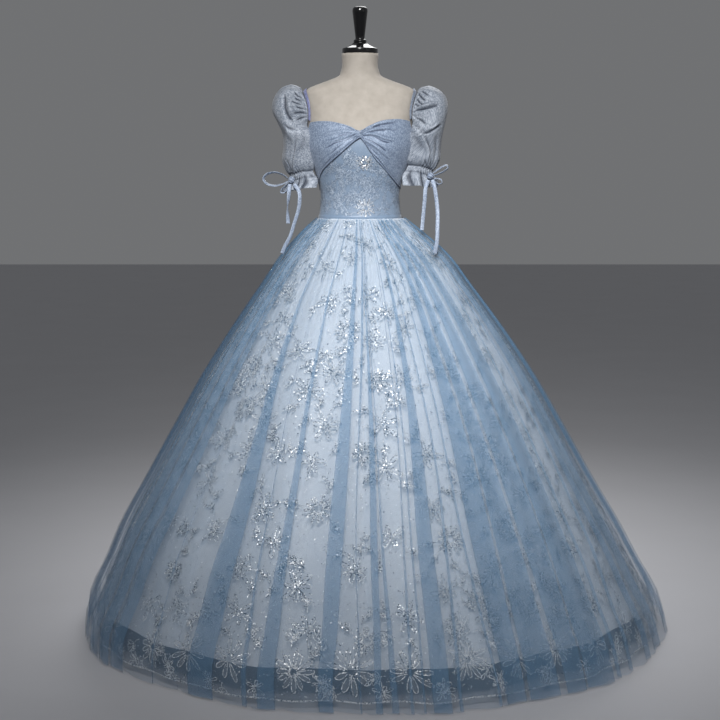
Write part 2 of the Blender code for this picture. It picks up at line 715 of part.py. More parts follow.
def main_folds(turn, height):
    """The largest folds, full at the hem and fading out at the waist."""
    total = np.zeros_like(turn + height)
    for fold in MAIN_FOLDS:
        apart = np.degrees(np.angle(np.exp(1j * (turn - math.radians(fold.turn)))))
        total = total + fold.rise * np.exp(-((apart / fold.width) ** 2))
    return total * np.clip(1 - height / MAIN_FOLDS_START, 0, 1) ** 0.7


def uneven(turn):
    """How deep the folds are round the skirt, about 1."""
    return 1 + 0.22 * np.sin(3 * turn + 0.6) + 0.16 * np.sin(7 * turn + 2.1)


def skirt_grid(layer, folds, hem):
    """The middle of one skirt layer's wall. Layer 0 is the outer one, 1 the glitter tulle, 2 the lining."""
    heights = np.array([row for row in SKIRT_ROWS if row > hem + LEAST_LAST_ROW] + [hem])[:, None]
    turn = np.linspace(-math.pi, math.pi, folds * STEPS_PER_FOLD, endpoint=False)[None, :]
    depth = {name: read(FOLD_DEPTHS, name, heights) for name in Depth._fields[1:]}
    radius = read(SKIRT_PROFILE, "radius", heights) + main_folds(turn, heights)
    level = uneven(turn)
    if layer > 0:
        radius = radius - 2 * depth["outer"] * level - depth["outer_gap"]
    if layer > 1:
        radius = radius - 2 * depth["glitter"] * level - depth["glitter_gap"]
    own = depth[("outer", "glitter", "lining")[layer]]
    phase = 0.25 * np.sin(2 * turn + layer) + 0.15 * np.sin(5 * turn + 1.3)
    radius = radius - own * level * (1 - np.cos(folds * (turn + phase / 6)))
    # The waist has the form's own section, and below the hips the skirt is round.
    waist = form_point(turn, np.full_like(turn, WAIST_SEAM))
    waist_turn = np.arctan2(waist[..., 0], -waist[..., 1])
    waist_radius = np.hypot(waist[..., 0], waist[..., 1])
    section = np.interp(turn, waist_turn[0], waist_radius[0], period=2 * math.pi)
    section = section / read(FORM_SECTIONS, "half_width", WAIST_SEAM)
    roundness = np.clip((WAIST_SEAM - heights) / ROUND_BELOW_WAIST, 0, 1)
    roundness = roundness * roundness * (3 - 2 * roundness)
    radius = radius * (section + (1 - section) * roundness)
    shift = read(SKIRT_PROFILE, "shift", heights)
    x, y = shift + radius * np.sin(turn), -radius * np.cos(turn)
    return np.stack(np.broadcast_arrays(x, y, heights), axis=-1)


def build_skirts():
    layers = (
        ("skirt_outer", OUTER_FOLDS, HEM_HEIGHT, TULLE),
        ("skirt_glitter", GLITTER_FOLDS, GLITTER_HEM_HEIGHT, GLITTER_TULLE),
        ("skirt_lining", LINING_FOLDS, LINING_HEM_HEIGHT, WHITE_SATIN),
    )
    for layer, (name, folds, hem, finish) in enumerate(layers):
        grid = skirt_grid(layer, folds, hem)
        normal = normals_of(grid, closed=True) * CLOTH_WALL / 2
        inside, outside = grid + normal, grid - normal
        # Both edges stay level.
        for end in (0, -1):
            inside[end, :, 2] = outside[end, :, 2] = grid[end, :, 2]
        wall(name, inside, outside, finish, closed=True)


def main():
    for thing in list(bpy.data.objects):
        bpy.data.objects.remove(thing, do_unlink=True)
    build_form()
    build_bodice()
    build_sleeves()
    build_skirts()


main()
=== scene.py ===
# %% Load the frame
import math
from collections import namedtuple

import bmesh
import bpy
import numpy as np
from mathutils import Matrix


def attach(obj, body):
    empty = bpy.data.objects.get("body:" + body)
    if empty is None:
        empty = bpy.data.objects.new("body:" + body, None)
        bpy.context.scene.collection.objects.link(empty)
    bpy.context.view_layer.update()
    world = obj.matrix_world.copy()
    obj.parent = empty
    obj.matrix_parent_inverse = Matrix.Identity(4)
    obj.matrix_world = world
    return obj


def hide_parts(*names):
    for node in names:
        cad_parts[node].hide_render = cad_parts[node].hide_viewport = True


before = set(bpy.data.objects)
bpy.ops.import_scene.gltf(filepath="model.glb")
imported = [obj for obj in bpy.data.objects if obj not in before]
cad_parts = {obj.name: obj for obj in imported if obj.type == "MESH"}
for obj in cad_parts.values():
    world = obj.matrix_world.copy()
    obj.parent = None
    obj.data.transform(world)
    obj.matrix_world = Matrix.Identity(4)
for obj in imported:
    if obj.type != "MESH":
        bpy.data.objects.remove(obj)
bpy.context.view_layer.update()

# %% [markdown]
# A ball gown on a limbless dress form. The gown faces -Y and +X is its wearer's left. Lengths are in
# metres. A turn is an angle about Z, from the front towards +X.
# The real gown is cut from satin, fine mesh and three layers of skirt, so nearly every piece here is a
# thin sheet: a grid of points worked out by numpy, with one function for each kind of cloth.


def put(name, data):
    """A new object in the scene, at the origin."""
    thing = bpy.data.objects.new(name, data)
    bpy.context.scene.collection.objects.link(thing)
    return thing


# %% [markdown]
# ## The camera
# It stands 4.5 m away at the height of the chest and looks a little down, as a shop visitor does. A long
# lens keeps the gown's proportions.

# %% Camera
lens = bpy.data.cameras.new("camera")
lens.lens, lens.sensor_width = 80.4, 36
camera = put("camera", lens)
camera.location, camera.rotation_euler = (0, -4.5, 1.325), (math.radians(90 - 7.29), 0, 0)
bpy.context.scene.camera = camera

# %% [markdown]
# ## Smooth curves through short tables
# A dressmaker marks a few measures and lets the cloth find the curve between them. The same is done here:
# a table has a row for each mark, and a cubic curve with a continuous slope runs through the rows.


# %% Curves
def rows(fields, *values):
    """A table whose rows have named columns."""
    return tuple(map(namedtuple("Row", fields)._make, values))


def column(table, name):
    return np.array([getattr(row, name) for row in table], float)


def smooth(knots, values, at):
    """Cubic Hermite curve through (knots, values): each knot's slope is the mean slope of its neighbours."""
    knots, values = np.asarray(knots, float), np.asarray(values, float)
    at = np.clip(at, knots[0], knots[-1])
    slopes = np.gradient(values, knots, axis=0)
    index = np.clip(np.searchsorted(knots, at) - 1, 0, len(knots) - 2)
    span = knots[index + 1] - knots[index]
    t = (at - knots[index]) / span
    if values.ndim > 1:
        extra = (1,) * (values.ndim - 1)
        t, span = t.reshape(t.shape + extra), span.reshape(span.shape + extra)
    rise = values[index] * (2 * t**3 - 3 * t**2 + 1) + values[index + 1] * (3 * t**2 - 2 * t**3)
    bend = slopes[index] * (t**3 - 2 * t**2 + t) + slopes[index + 1] * (t**3 - t**2)
    return rise + bend * span


def along(marks, at):
    """The same curve through marks that are one step apart."""
    return smooth(np.arange(len(marks)), marks, at)


def read(table, name, at, key="height"):
    """One column of a table, as a smooth function of another one."""
    keys = column(table, key)
    order = np.argsort(keys)
    return smooth(keys[order], column(table, name)[order], at)


def ease(value):
    """0 below 0, 1 above 1, and 3v^2 - 2v^3 between."""
    value = np.clip(value, 0, 1)
    return value * value * (3 - 2 * value)


def bell(distance, width):
    """exp(-(distance / width)^2): 1 in the middle and almost 0 two widths away."""
    return np.exp(-((distance / width) ** 2))


def circle(count, start=0.0):
    """Evenly spaced turns all round, without the last, which is the first again."""
    return np.linspace(start, start + 2 * math.pi, count, endpoint=False)


def unit(vectors):
    return vectors / np.maximum(np.linalg.norm(vectors, axis=-1, keepdims=True), 1e-9)


def stack(*parts):
    """Arrays of coordinates, spread to one shape and joined into points."""
    return np.stack(np.broadcast_arrays(*parts), axis=-1)


# %% [markdown]
# ## Cloth as a grid
# Woven cloth has two thread directions, so a grid of points is its natural mesh: one index runs round the
# body and the other runs up. The UV map holds the distance along the cloth in metres, so a weave keeps its
# real size wherever the cloth bends.


# %% Grid meshes
def lengths_along(grid, axis):
    """Distance along the cloth from its first row or column to each point."""
    steps = np.linalg.norm(np.diff(grid, axis=axis), axis=-1)
    start = np.zeros_like(np.take(steps, [0], axis=axis))
    return np.concatenate((start, np.cumsum(steps, axis=axis)), axis=axis)


def grid_mesh(name, grid, closed=False, painted_shade=None):
    """Quads between neighbouring points; closed joins the last column to the first. With turns rising along
    the columns and heights along the rows, the faces point outwards. Painted shade is 0 to 1 for each point,
    kept as an attribute that darkens the colour where shade falls in folds."""
    count, columns = grid.shape[:2]
    wide = np.concatenate((grid, grid[:, :1]), axis=1) if closed else grid
    low, left = np.arange(count - 1)[:, None], np.arange(wide.shape[1] - 1)[None, :]
    corners = [(low, left), (low, left + 1), (low + 1, left + 1), (low + 1, left)]
    loops = np.stack([i * columns + j % columns for i, j in corners], axis=-1).ravel()
    across, up = lengths_along(wide, 1), lengths_along(wide, 0)
    places = np.stack([stack(across[i, j], up[i, j]) for i, j in corners], axis=-2)
    mesh = bpy.data.meshes.new(name)
    mesh.vertices.add(count * columns)
    mesh.vertices.foreach_set("co", grid.astype(np.float32).ravel())
    mesh.loops.add(len(loops))
    mesh.loops.foreach_set("vertex_index", loops.astype(np.int32))
    mesh.polygons.add(len(loops) // 4)
    mesh.polygons.foreach_set("loop_start", np.arange(0, len(loops), 4, dtype=np.int32))
    mesh.update(calc_edges=True)
    mesh.uv_layers.new(name="cloth").data.foreach_set("uv", places.astype(np.float32).ravel())
    if painted_shade is not None:
        values = painted_shade.astype(np.float32).ravel()
        mesh.attributes.new("painted_shade", "FLOAT", "POINT").data.foreach_set("value", values)
    mesh.shade_smooth()
    return mesh


def piece(name, mesh, material):
    """A finished piece: its object stays at the origin, rides the body and has its slot."""
    mesh.materials.append(material)
    thing = put(name, mesh)
    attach(thing, "root")
    return thing


def cloth(name, grid, material, nodes, closed=False, painted_shade=None):
    """A sheet of cloth from a grid, in the place of its solids. The size that it was cut to is its longest
    row, its longest column, and the area of its quads."""
    thing = piece(name, grid_mesh(name, grid, closed, painted_shade), material)
    wide = np.concatenate((grid, grid[:, :1]), axis=1) if closed else grid
    width, length = float(lengths_along(wide, 1)[:, -1].max()), float(lengths_along(wide, 0)[-1].max())
    first, second = wide[1:, 1:] - wide[:-1, :-1], wide[1:, :-1] - wide[:-1, 1:]
    area = float(np.linalg.norm(np.cross(first, second), axis=-1).sum() / 2)
    area = min(area, width * length)
    if nodes:
        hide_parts(*nodes)
    print(f"{name}: cut {width:.3f} x {length:.3f} m, {area:.4f} m2, {len(thing.data.polygons)} faces")
    return thing


# %% [markdown]
# ## Materials
# One function adds a node. Colours are written as on a dyer's chart, in sRGB hex, and one function turns
# them into the linear light that the renderer adds up.

# %% Node and colour helpers
MIX_A, MIX_B, MIX_OUT = 6, 7, 2  # the colour sockets of a Mix node


def linear(code):
    """An sRGB hex colour as linear light."""
    share = np.array([int(code[i : i + 2], 16) for i in (1, 3, 5)]) / 255
    light = np.where(share <= 0.04045, share / 12.92, ((share + 0.055) / 1.055) ** 2.4)
    return (*light.tolist(), 1.0)


def add(tree, kind, settings=None, links=None, into=None, out=0):
    """Adds a node. Settings are its own properties or its sockets' values; links join its sockets to outputs
    of other nodes, and into is a socket that takes its own output."""
    node = tree.nodes.new("ShaderNode" + kind)
    for key, value in (settings or {}).items():
        if isinstance(key, str) and hasattr(node, key):
            setattr(node, key, value)
        else:
            node.inputs[key].default_value = value
    for key, output in (links or {}).items():
        tree.links.new(output, node.inputs[key])
    if into is not None:
        tree.links.new(node.outputs[out], into)
    return node


def new_material(name, colour, roughness, **sockets):
    """A Principled material with constant sockets. Returns it with its tree and its shader's sockets."""
    material = bpy.data.materials.new(name)
    material.use_nodes = True
    tree = material.node_tree
    tree.nodes.clear()
    settings = {"Base Color": linear(colour), "Roughness": roughness}
    settings.update({key.replace("_", " "): value for key, value in sockets.items()})
    shader = add(tree, "BsdfPrincipled", settings)
    add(tree, "OutputMaterial", links={"Surface": shader.outputs[0]})
    return material, tree, shader.inputs


def two_shades(dark, light):
    """Settings for a mix of two colours."""
    return {"data_type": "RGBA", MIX_A: linear(dark), MIX_B: linear(light)}


def bands(apart):
    """The scale that sets the bands of a wave pattern this far apart: it makes 20 radians of wave a unit."""
    return 2 * math.pi / 20 / apart


# %% [markdown]
# ### Linen, stretched over the form
# Unbleached linen is matt, with threads about 0.8 mm apart that vary in thickness. They are drawn 2.5 mm
# apart, because finer ones can't show at this distance. Slubs give slow, uneven streaks.

# %% Linen
linen, tree, shader = new_material("unbleached_linen_stretched", "#b0a99f", 0.88, Sheen_Weight=0.15)
place = add(tree, "TexCoord").outputs["Object"]
thread = {"Scale": bands(0.0025), "Distortion": 1.2, "Detail": 1.0}
warp, weft = (add(tree, "TexWave", {"bands_direction": way, **thread}, {"Vector": place}) for way in "XZ")
weave = add(tree, "Math", {"operation": "MAXIMUM"}, {0: warp.outputs[0], 1: weft.outputs[0]})
slubs = add(tree, "TexNoise", {"Scale": 45.0, "Detail": 3.0}, {"Vector": place})
shades = two_shades("#a1998f", "#bdb6ad")
add(tree, "Mix", shades, {"Factor": slubs.outputs[0]}, shader["Base Color"], MIX_OUT)
add(tree, "Bump", {"Strength": 0.25, "Distance": 0.0003}, {"Height": weave.outputs[0]}, shader["Normal"])

# %% [markdown]
# ### Black lacquer and brushed steel
# The cap, the handle and the base are turned wood under gloss lacquer: nearly black, with a sharp
# reflection and faint waves from the brush. The pole is drawn steel, brushed along its length.

# %% Hard materials
lacquer, tree, shader = new_material(
    "black_gloss_lacquer_on_wood", "#0b0b0d", 0.14, Coat_Weight=0.6, Coat_Roughness=0.05
)
place = add(tree, "TexCoord").outputs["Object"]
waves = add(tree, "TexNoise", {"Scale": 60.0, "Detail": 2.0}, {"Vector": place}).outputs[0]
add(tree, "MapRange", {"To Min": 0.10, "To Max": 0.22}, {"Value": waves}, shader["Roughness"])
add(tree, "Bump", {"Strength": 0.06, "Distance": 0.0005}, {"Height": waves}, shader["Normal"])

steel, tree, shader = new_material("drawn_steel_brushed", "#b4b6ba", 0.3, Metallic=1.0)
place = add(tree, "TexCoord").outputs["Object"]
long_lines = add(tree, "Mapping", {"Scale": (900, 900, 6)}, {"Vector": place})
brushing = add(tree, "TexNoise", {"Scale": 1.0, "Detail": 2.0}, {"Vector": long_lines.outputs[0]})
add(tree, "MapRange", {"To Min": 0.22, "To Max": 0.42}, {"Value": brushing.outputs[0]}, shader["Roughness"])

# %% [markdown]
# ### Satin
# Polyester satin has long floating threads, so it is smooth and has a soft, broad highlight. The bodice's
# is dusty blue and the skirt lining's is a cold white. Threads are 0.2 mm apart and can't show, so
# a slow, faint change of shade stands for the way they lie: a painted sheen, lighter and darker streaks
# where the threads catch the light differently.


# %% Satin
def drawn_shade(tree, shader, dark, light, scale, **noise):
    """Two close shades, mixed by a noise that is drawn out along the cloth's length: painted sheen on satin,
    painted shade of fine gathers on tulle.
    """
    places = add(tree, "UVMap", {"uv_map": "cloth"})
    drawn = add(tree, "Mapping", {"Scale": scale}, {"Vector": places.outputs[0]})
    shade = add(tree, "TexNoise", {"Scale": 1.0, **noise}, {"Vector": drawn.outputs[0]}).outputs[0]
    add(tree, "Mix", two_shades(dark, light), {"Factor": shade}, shader["Base Color"], MIX_OUT)
    return shade


def satin(name, dark, light, roughness):
    """Soft streaks 11 mm wide of painted sheen, which also raise the surface a little."""
    material, tree, shader = new_material(name, light, roughness, Sheen_Weight=0.25, Specular_IOR_Level=0.4)
    shade = drawn_shade(tree, shader, dark, light, (90, 12, 1), Detail=3.0)
    add(tree, "Bump", {"Strength": 0.10, "Distance": 0.0006}, {"Height": shade}, shader["Normal"])
    return material


blue_satin = satin("polyester_satin_dusty_blue", "#70869f", "#899cb3", 0.42)
white_satin = satin("polyester_satin_cold_white", "#d9dbdf", "#e8eaec", 0.45)

# %% [markdown]
# ### Tulle
# Tulle is a net of hexagons about 1 mm across, and most of it is air. From a step away it is a veil: each
# layer adds a little of its colour, so three layers look much bluer than one. A constant alpha gives that.
# Its threads lie mostly down the skirt; faint streaks down it, in two shades, are painted shade of its fine
# gathers.


# %% Tulle
def tulle(name, dark, light, alpha, roughness, streak):
    """A veil with constant alpha, whose two shades follow streaks down the cloth: painted shade of fine
    gathers.
    """
    material, tree, shader = new_material(name, light, roughness, Alpha=alpha, Specular_IOR_Level=0.25)
    drawn_shade(tree, shader, dark, light, (1 / streak, 2.5, 1), Detail=4.0, Roughness=0.6)
    return material


outer_tulle = tulle("nylon_tulle_dusty_blue", "#4a7ba5", "#8ab2d2", 0.22, 0.8, 0.005)
base_tulle = tulle("nylon_tulle_pale_under_glitter", "#9fb1c6", "#bfcddc", 0.23, 0.6, 0.010)

# %% [markdown]
# ### Silver glitter
# The flowers are glued lines of cut silver foil, 0.4 mm a flake. Each flake is a small mirror that faces
# its own way, so most show the grey room and a few flash: each flake's colour is painted dark or white for
# these reflections, and its tilt adds real glints. They are drawn 2.5 mm across, because smaller ones
# average out to grey at this distance. The flakes are cells: each cell's random colour picks the painted
# shade and shifts the surface's normal, which tilts the whole flake. The hem's border is painted brighter,
# with a lighter dark and more white flakes, and a thin white veil inside its petals and the daisies' is
# painted glints.


# %% Glitter
def glitter(name, dark, light, flake, share, metallic, tilt, **sockets):
    """Voronoi cells of one flake's size: each cell's random colour picks a painted shade, dark for a flake
    that mirrors the room and light for one that flashes, and tilts its face. From about the given share of
    the cells upwards they are light."""
    material, tree, shader = new_material(name, light, 0.32, Metallic=metallic, **sockets)
    places = add(tree, "TexCoord").outputs["Object"]
    colour = add(tree, "TexVoronoi", {"Scale": 1 / flake}, {"Vector": places}).outputs["Color"]
    pick = add(tree, "SeparateColor", links={0: colour}).outputs[0]
    bright = add(tree, "MapRange", {"From Min": share - 0.25, "From Max": share + 0.1}, {"Value": pick})
    add(tree, "Mix", two_shades(dark, light), {"Factor": bright.outputs[0]}, shader["Base Color"], MIX_OUT)
    centred = add(tree, "VectorMath", {"operation": "SUBTRACT", 1: (0.5, 0.5, 0.5)}, {0: colour})
    normal = add(tree, "NewGeometry").outputs["Normal"]
    leaning = {"operation": "MULTIPLY_ADD", 1: (tilt, tilt, tilt)}
    tilted = add(tree, "VectorMath", leaning, {0: centred.outputs[0], 2: normal})
    add(tree, "VectorMath", {"operation": "NORMALIZE"}, {0: tilted.outputs[0]}, shader["Normal"])
    return material


silver_glitter = glitter("silver_foil_glitter_glued", "#424953", "#ffffff", 0.0025, 0.51, 0.36, 1.0)
# A copy of the silver glitter painted brighter, with a lighter dark and more white flakes.
brighter_hem_glitter = glitter("silver_foil_glitter_painted_brighter", "#6a727c", "#ffffff", 0.0025, 0.42, 0.30, 0.8)
# A thin white veil for inside the petals: painted glints.
petal_glint_veil = glitter("white_veil_painted_glints", "#dfe4ea", "#ffffff", 0.0030, 0.50, 0.0, 0.4, Alpha=0.14)
bodice_glitter = glitter("silver_foil_glitter_sparse", "#6f8097", "#b4c1d1", 0.0018, 0.55, 0.05, 0.5)

# %% [markdown]
# ### Mesh with metallic yarn
# Cups, sleeves and drawstrings are a fine mesh with a metallic yarn in it. The yarn's stitches twinkle one
# by one, 0.5 mm apart and drawn 2.4 mm apart, as lighter and darker cells of painted glints, and the two
# layers of mesh give slow, bent ribs. The troughs of folds get a painted shade.

# %% Lurex
TWINKLE, RIB = 0.0024, 0.0070


def lurex_mesh(name, dark, light, painted_shade_colour, alpha):
    """Random lighter and darker cells, painted glints for the yarn's twinkle, ribs that bend slowly, and a
    darker colour painted as shade in the troughs of folds and along sunken edges."""
    material, tree, shader = new_material(
        name, light, 0.5, Alpha=alpha, Metallic=0.1, Sheen_Weight=0.2, Specular_IOR_Level=0.4
    )
    places = add(tree, "UVMap", {"uv_map": "cloth"}).outputs[0]
    cells = add(tree, "TexVoronoi", {"Scale": 1 / TWINKLE}, {"Vector": places})
    pick = add(tree, "SeparateColor", links={0: cells.outputs["Color"]})
    bent = {"Scale": bands(RIB), "Distortion": 2.5, "Detail": 1.0, "Detail Scale": 0.3}
    ribs = add(tree, "TexWave", {"bands_direction": "X", **bent}, {"Vector": places})
    over = {0: ribs.outputs[0], 2: pick.outputs[0]}
    ribbed = add(tree, "Math", {"operation": "MULTIPLY_ADD", 1: 0.13}, over).outputs[0]
    shade = add(tree, "MapRange", {"From Min": 0.05, "From Max": 1.08}, {"Value": ribbed})
    mixed = add(tree, "Mix", two_shades(dark, light), {"Factor": shade.outputs[0]})
    # Painted shade: the attribute mixes a darker colour into the troughs of folds.
    painted_shade = add(tree, "Attribute", {"attribute_name": "painted_shade"})
    over = {"Factor": painted_shade.outputs["Fac"], MIX_A: mixed.outputs[MIX_OUT]}
    add(tree, "Mix", {"data_type": "RGBA", MIX_B: linear(painted_shade_colour)}, over, shader["Base Color"], MIX_OUT)
    add(tree, "Bump", {"Strength": 0.35, "Distance": 0.0005}, {"Height": ribbed}, shader["Normal"])
    return material


# The third colour of each mesh is its painted shade.
cup_mesh = lurex_mesh("lurex_mesh_dusty_blue", "#66778f", "#9fadc2", "#333f57", 1.0)
sleeve_mesh = lurex_mesh("lurex_mesh_grey_blue", "#6a7482", "#b2b9c4", "#39414f", 0.92)
cord_mesh = lurex_mesh("lurex_mesh_drawstring", "#76839a", "#a9b5c6", "#4c5870", 1.0)
strap_mesh = lurex_mesh("folded_mesh_violet_blue", "#6a70a0", "#989fc4", "#3f4470", 1.0)
grey_strap_mesh = lurex_mesh("folded_mesh_grey_blue", "#626c7e", "#9aa4b5", "#38404f", 1.0)
print(len(bpy.data.materials), "materials")

# %% [markdown]
# ## The dress form
# A shop form is a moulded shell covered in linen. It is a stack of level sections, each a superellipse with
# its own width and depth, and a smooth curve runs through them from the hips to the neck.

# %% Form sections
WAIST_SEAM = 1.150
FORM_BOTTOM, NECK_TOP = 0.900, 1.600
FORM_SECTIONS = rows(
    "height half_width front back squareness",
    (0.9, 0.152, 0.094, 0.108, 2.1),
    (0.912, 0.163, 0.101, 0.116, 2.1),
    (0.98, 0.164, 0.103, 0.12, 2.1),
    (1.04, 0.151, 0.101, 0.112, 2.1),
    (1.1, 0.128, 0.096, 0.097, 2.1),
    (1.15, 0.112, 0.09, 0.083, 2.1),
    (1.185, 0.1066, 0.086, 0.076, 2.1),
    (1.225, 0.1065, 0.088, 0.075, 2.1),
    (1.265, 0.1165, 0.095, 0.079, 2.15),
    (1.31, 0.134, 0.103, 0.085, 2.2),
    (1.345, 0.1448, 0.106, 0.09, 2.3),
    (1.375, 0.145, 0.103, 0.093, 2.4),
    (1.41, 0.1448, 0.095, 0.095, 2.5),
    (1.45, 0.149, 0.083, 0.091, 2.5),
    (1.48, 0.154, 0.073, 0.084, 2.5),
    (1.496, 0.153, 0.067, 0.078, 2.5),
    (1.508, 0.137, 0.063, 0.073, 2.4),
    (1.518, 0.112, 0.06, 0.068, 2.3),
    (1.528, 0.084, 0.058, 0.063, 2.15),
    (1.538, 0.061, 0.0555, 0.057, 2.0),
    (1.552, 0.053, 0.053, 0.053, 2.0),
    (1.6, 0.0505, 0.0515, 0.0515, 2.0),
)
BUST_RISE, BUST_OUT, BUST_HEIGHT, BUST_SPREAD = 0.011, 0.070, 1.338, 0.052
NORMAL_STEP = 1e-3
FARTHEST, HALVINGS = 0.30, 40


def power(value, exponent):
    return np.sign(value) * np.abs(value) ** exponent


def form(name, height):
    """One measure of the form's section at a height."""
    return read(FORM_SECTIONS, name, height)


def form_point(turn, height):
    """A superellipse at each height, with two soft rises for the bust."""
    sine, cosine = np.sin(turn), np.cos(turn)
    exponent = 2 / form("squareness", height)
    depth = np.where(cosine > 0, form("front", height), form("back", height))
    x = form("half_width", height) * power(sine, exponent)
    y = -depth * power(cosine, exponent)
    bust = bell(np.abs(x) - BUST_OUT, BUST_SPREAD) * bell(height - BUST_HEIGHT, BUST_SPREAD)
    y = y - BUST_RISE * bust * np.clip(cosine, 0, 1)
    return stack(x, y, height)


def form_surface(turn, height, out):
    """The form's surface moved out along its normals."""
    turn, height, out = np.broadcast_arrays(turn, height, out)
    round_it = form_point(turn + NORMAL_STEP, height) - form_point(turn - NORMAL_STEP, height)
    up_it = form_point(turn, height + NORMAL_STEP) - form_point(turn, height - NORMAL_STEP)
    return form_point(turn, height) + unit(np.cross(round_it, up_it)) * out[..., None]


def turn_at(across, height):
    """The front turn at which the form's surface passes a place across."""
    share = np.clip(np.abs(across) / form("half_width", height), 0, 1)
    return np.sign(across) * np.arcsin(share ** (form("squareness", height) / 2))


def form_distance(direction, start):
    """How far the form's surface lies from a point inside it, along each direction, by halving."""
    near = np.zeros(direction.shape[:-1])
    far = np.full(direction.shape[:-1], FARTHEST)
    for _ in range(HALVINGS):
        middle = (near + far) / 2
        place = start + direction * middle[..., None]
        height = np.clip(place[..., 2], FORM_BOTTOM, NECK_TOP)
        width, squareness = form("half_width", height), form("squareness", height)
        depth = np.where(place[..., 1] < 0, form("front", height), form("back", height))
        level = np.abs(place[..., 0] / width) ** squareness + np.abs(place[..., 1] / depth) ** squareness
        near, far = np.where(level < 1, middle, near), np.where(level < 1, far, middle)
    return near


# %% The form's linen
# The rows lie closer where the form curves fast: at its lower edge and over its shoulders.
stretches = ((0.900, 0.912, 4), (0.912, 1.480, 59), (1.480, 1.552, 29), (1.552, 1.600, 7))
heights = [np.linspace(low, high, count, endpoint=False) for low, high, count in stretches]
heights = np.append(np.concatenate(heights), NECK_TOP)[:, None]
linen_grid = form_point(circle(168), heights)
linen_cover = piece("form_linen_cover", grid_mesh("form_linen_cover", linen_grid, True), linen)
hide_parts("form_torso")


def close_ends(thing):
    """Fills the open rings of a turned or lofted shell, so that it is whole."""
    work = bmesh.new()
    work.from_mesh(thing.data)
    rims = [edge for edge in work.edges if edge.is_boundary]
    made = bmesh.ops.holes_fill(work, edges=rims, sides=0)["faces"]
    for face in made:
        face.smooth = False
    bmesh.ops.recalc_face_normals(work, faces=work.faces)
    work.to_mesh(thing.data)
    work.free()
    print(thing.name, "closed with", len(made), "caps,", len(thing.data.polygons), "faces")


close_ends(linen_cover)

# %% [markdown]
# ## Turned pieces
# The cap, the handle and the base come off a lathe, so each is one profile carried round an axis. Marks
# that lie close together on the profile leave a small round, as a chisel would.

# %% Lathe
CAP_PROFILE = rows(
    "radius height",
    (0.048, 1.6003), (0.049, 1.603), (0.0492, 1.606), (0.049, 1.612), (0.0482, 1.6137), (0.0465, 1.6147),
    (0.04, 1.6172), (0.03, 1.6215), (0.0235, 1.625), (0.0212, 1.627), (0.0205, 1.629),
)
HANDLE_PROFILE = rows(
    "radius height",
    (0.015, 1.6293), (0.017, 1.63), (0.0177, 1.6325), (0.0176, 1.6352), (0.016, 1.6375), (0.0133, 1.6392),
    (0.0128, 1.643), (0.0135, 1.65), (0.0152, 1.664), (0.0178, 1.686), (0.02, 1.705), (0.021, 1.713),
    (0.0209, 1.718), (0.0195, 1.7225), (0.0165, 1.7253), (0.012, 1.7268), (0.005, 1.727),
)
BASE_PROFILE = rows(
    "radius height",
    (0.206, 0.0), (0.2088, 0.0008), (0.21, 0.003), (0.21, 0.01), (0.2092, 0.0128), (0.2065, 0.0152),
    (0.2, 0.0175), (0.19, 0.018), (0.02, 0.018),
)


def lathe(name, profile, columns, node):
    """A profile of radius and height, cut into short steps and carried round the form's axis."""
    at = np.linspace(0, len(profile) - 1, 4 * len(profile))
    radius, height = along(np.array(profile), at).T[..., None]
    around = circle(columns)
    rings = stack(radius * np.sin(around), -radius * np.cos(around), height)
    thing = piece(name, grid_mesh(name, rings, True), lacquer)
    close_ends(thing)
    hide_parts(node)


lathe("form_cap_turned", CAP_PROFILE, 96, "form_neck_cap")
lathe("form_handle_turned", HANDLE_PROFILE, 72, "form_handle")
lathe("stand_base_turned", BASE_PROFILE, 128, "stand_base")
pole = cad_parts["stand_pole"]
pole.data.materials.clear()
pole.data.materials.append(steel)

# %% [markdown]
# ## The bodice
# A front panel runs from the waist to just under the neckline, and two back panels meet at a concealed
# zip. Each is satin with glitter tulle over it. On the form each panel is the form's own surface, moved
# out by the cloth's thickness.

# %% Bodice edges
NECKLINE = rows(
    "across height",
    (-0.138, 1.409), (-0.106, 1.413), (-0.064, 1.409), (-0.023, 1.396), (-0.001, 1.387), (0.02, 1.397),
    (0.048, 1.41), (0.088, 1.418), (0.134, 1.414),
)
CUP_EDGE_RIGHT = rows(
    "across height",
    (-0.001, 1.367), (-0.039, 1.339), (-0.078, 1.304), (-0.099, 1.281), (-0.1085, 1.252), (-0.1105, 1.226),
)
CUP_EDGE_LEFT = rows(
    "across height",
    (0.001, 1.367), (0.032, 1.326), (0.066, 1.284), (0.095, 1.247), (0.1105, 1.228),
)
ARMHOLE = rows(
    "turn height",
    (64, 1.409), (70, 1.393), (76, 1.381), (83, 1.372), (90, 1.369), (97, 1.372), (104, 1.381),
    (110, 1.391),
)
BACK_NECKLINE_HEIGHT = 1.391
SIDE_TURN = math.radians(89.92)
FRONT_TURN = math.radians(0.12)
ZIP_HALF_WIDTH, ZIP_GAP = 0.0040, 0.0004
SATIN_OUT, OVERLAY_OUT, UNDER_NECKLINE = 0.0030, 0.0038, 0.003


def armhole_height(turn):
    return smooth(np.radians(column(ARMHOLE, "turn")), column(ARMHOLE, "height"), turn)


def bodice_top(turn):
    """The bodice's upper edge at each turn: the neckline, then the armhole."""
    heights = column(NECKLINE, "height")
    front = smooth(turn_at(column(NECKLINE, "across"), heights), heights, turn)
    return np.where(np.abs(turn) > math.radians(ARMHOLE[0].turn), armhole_height(np.abs(turn)), front)


def cup_edge(table, turn):
    """The lower edge of a cup at each turn."""
    heights = column(table, "height")
    turns = np.abs(turn_at(column(table, "across"), heights))
    return smooth(turns, heights, np.abs(turn))


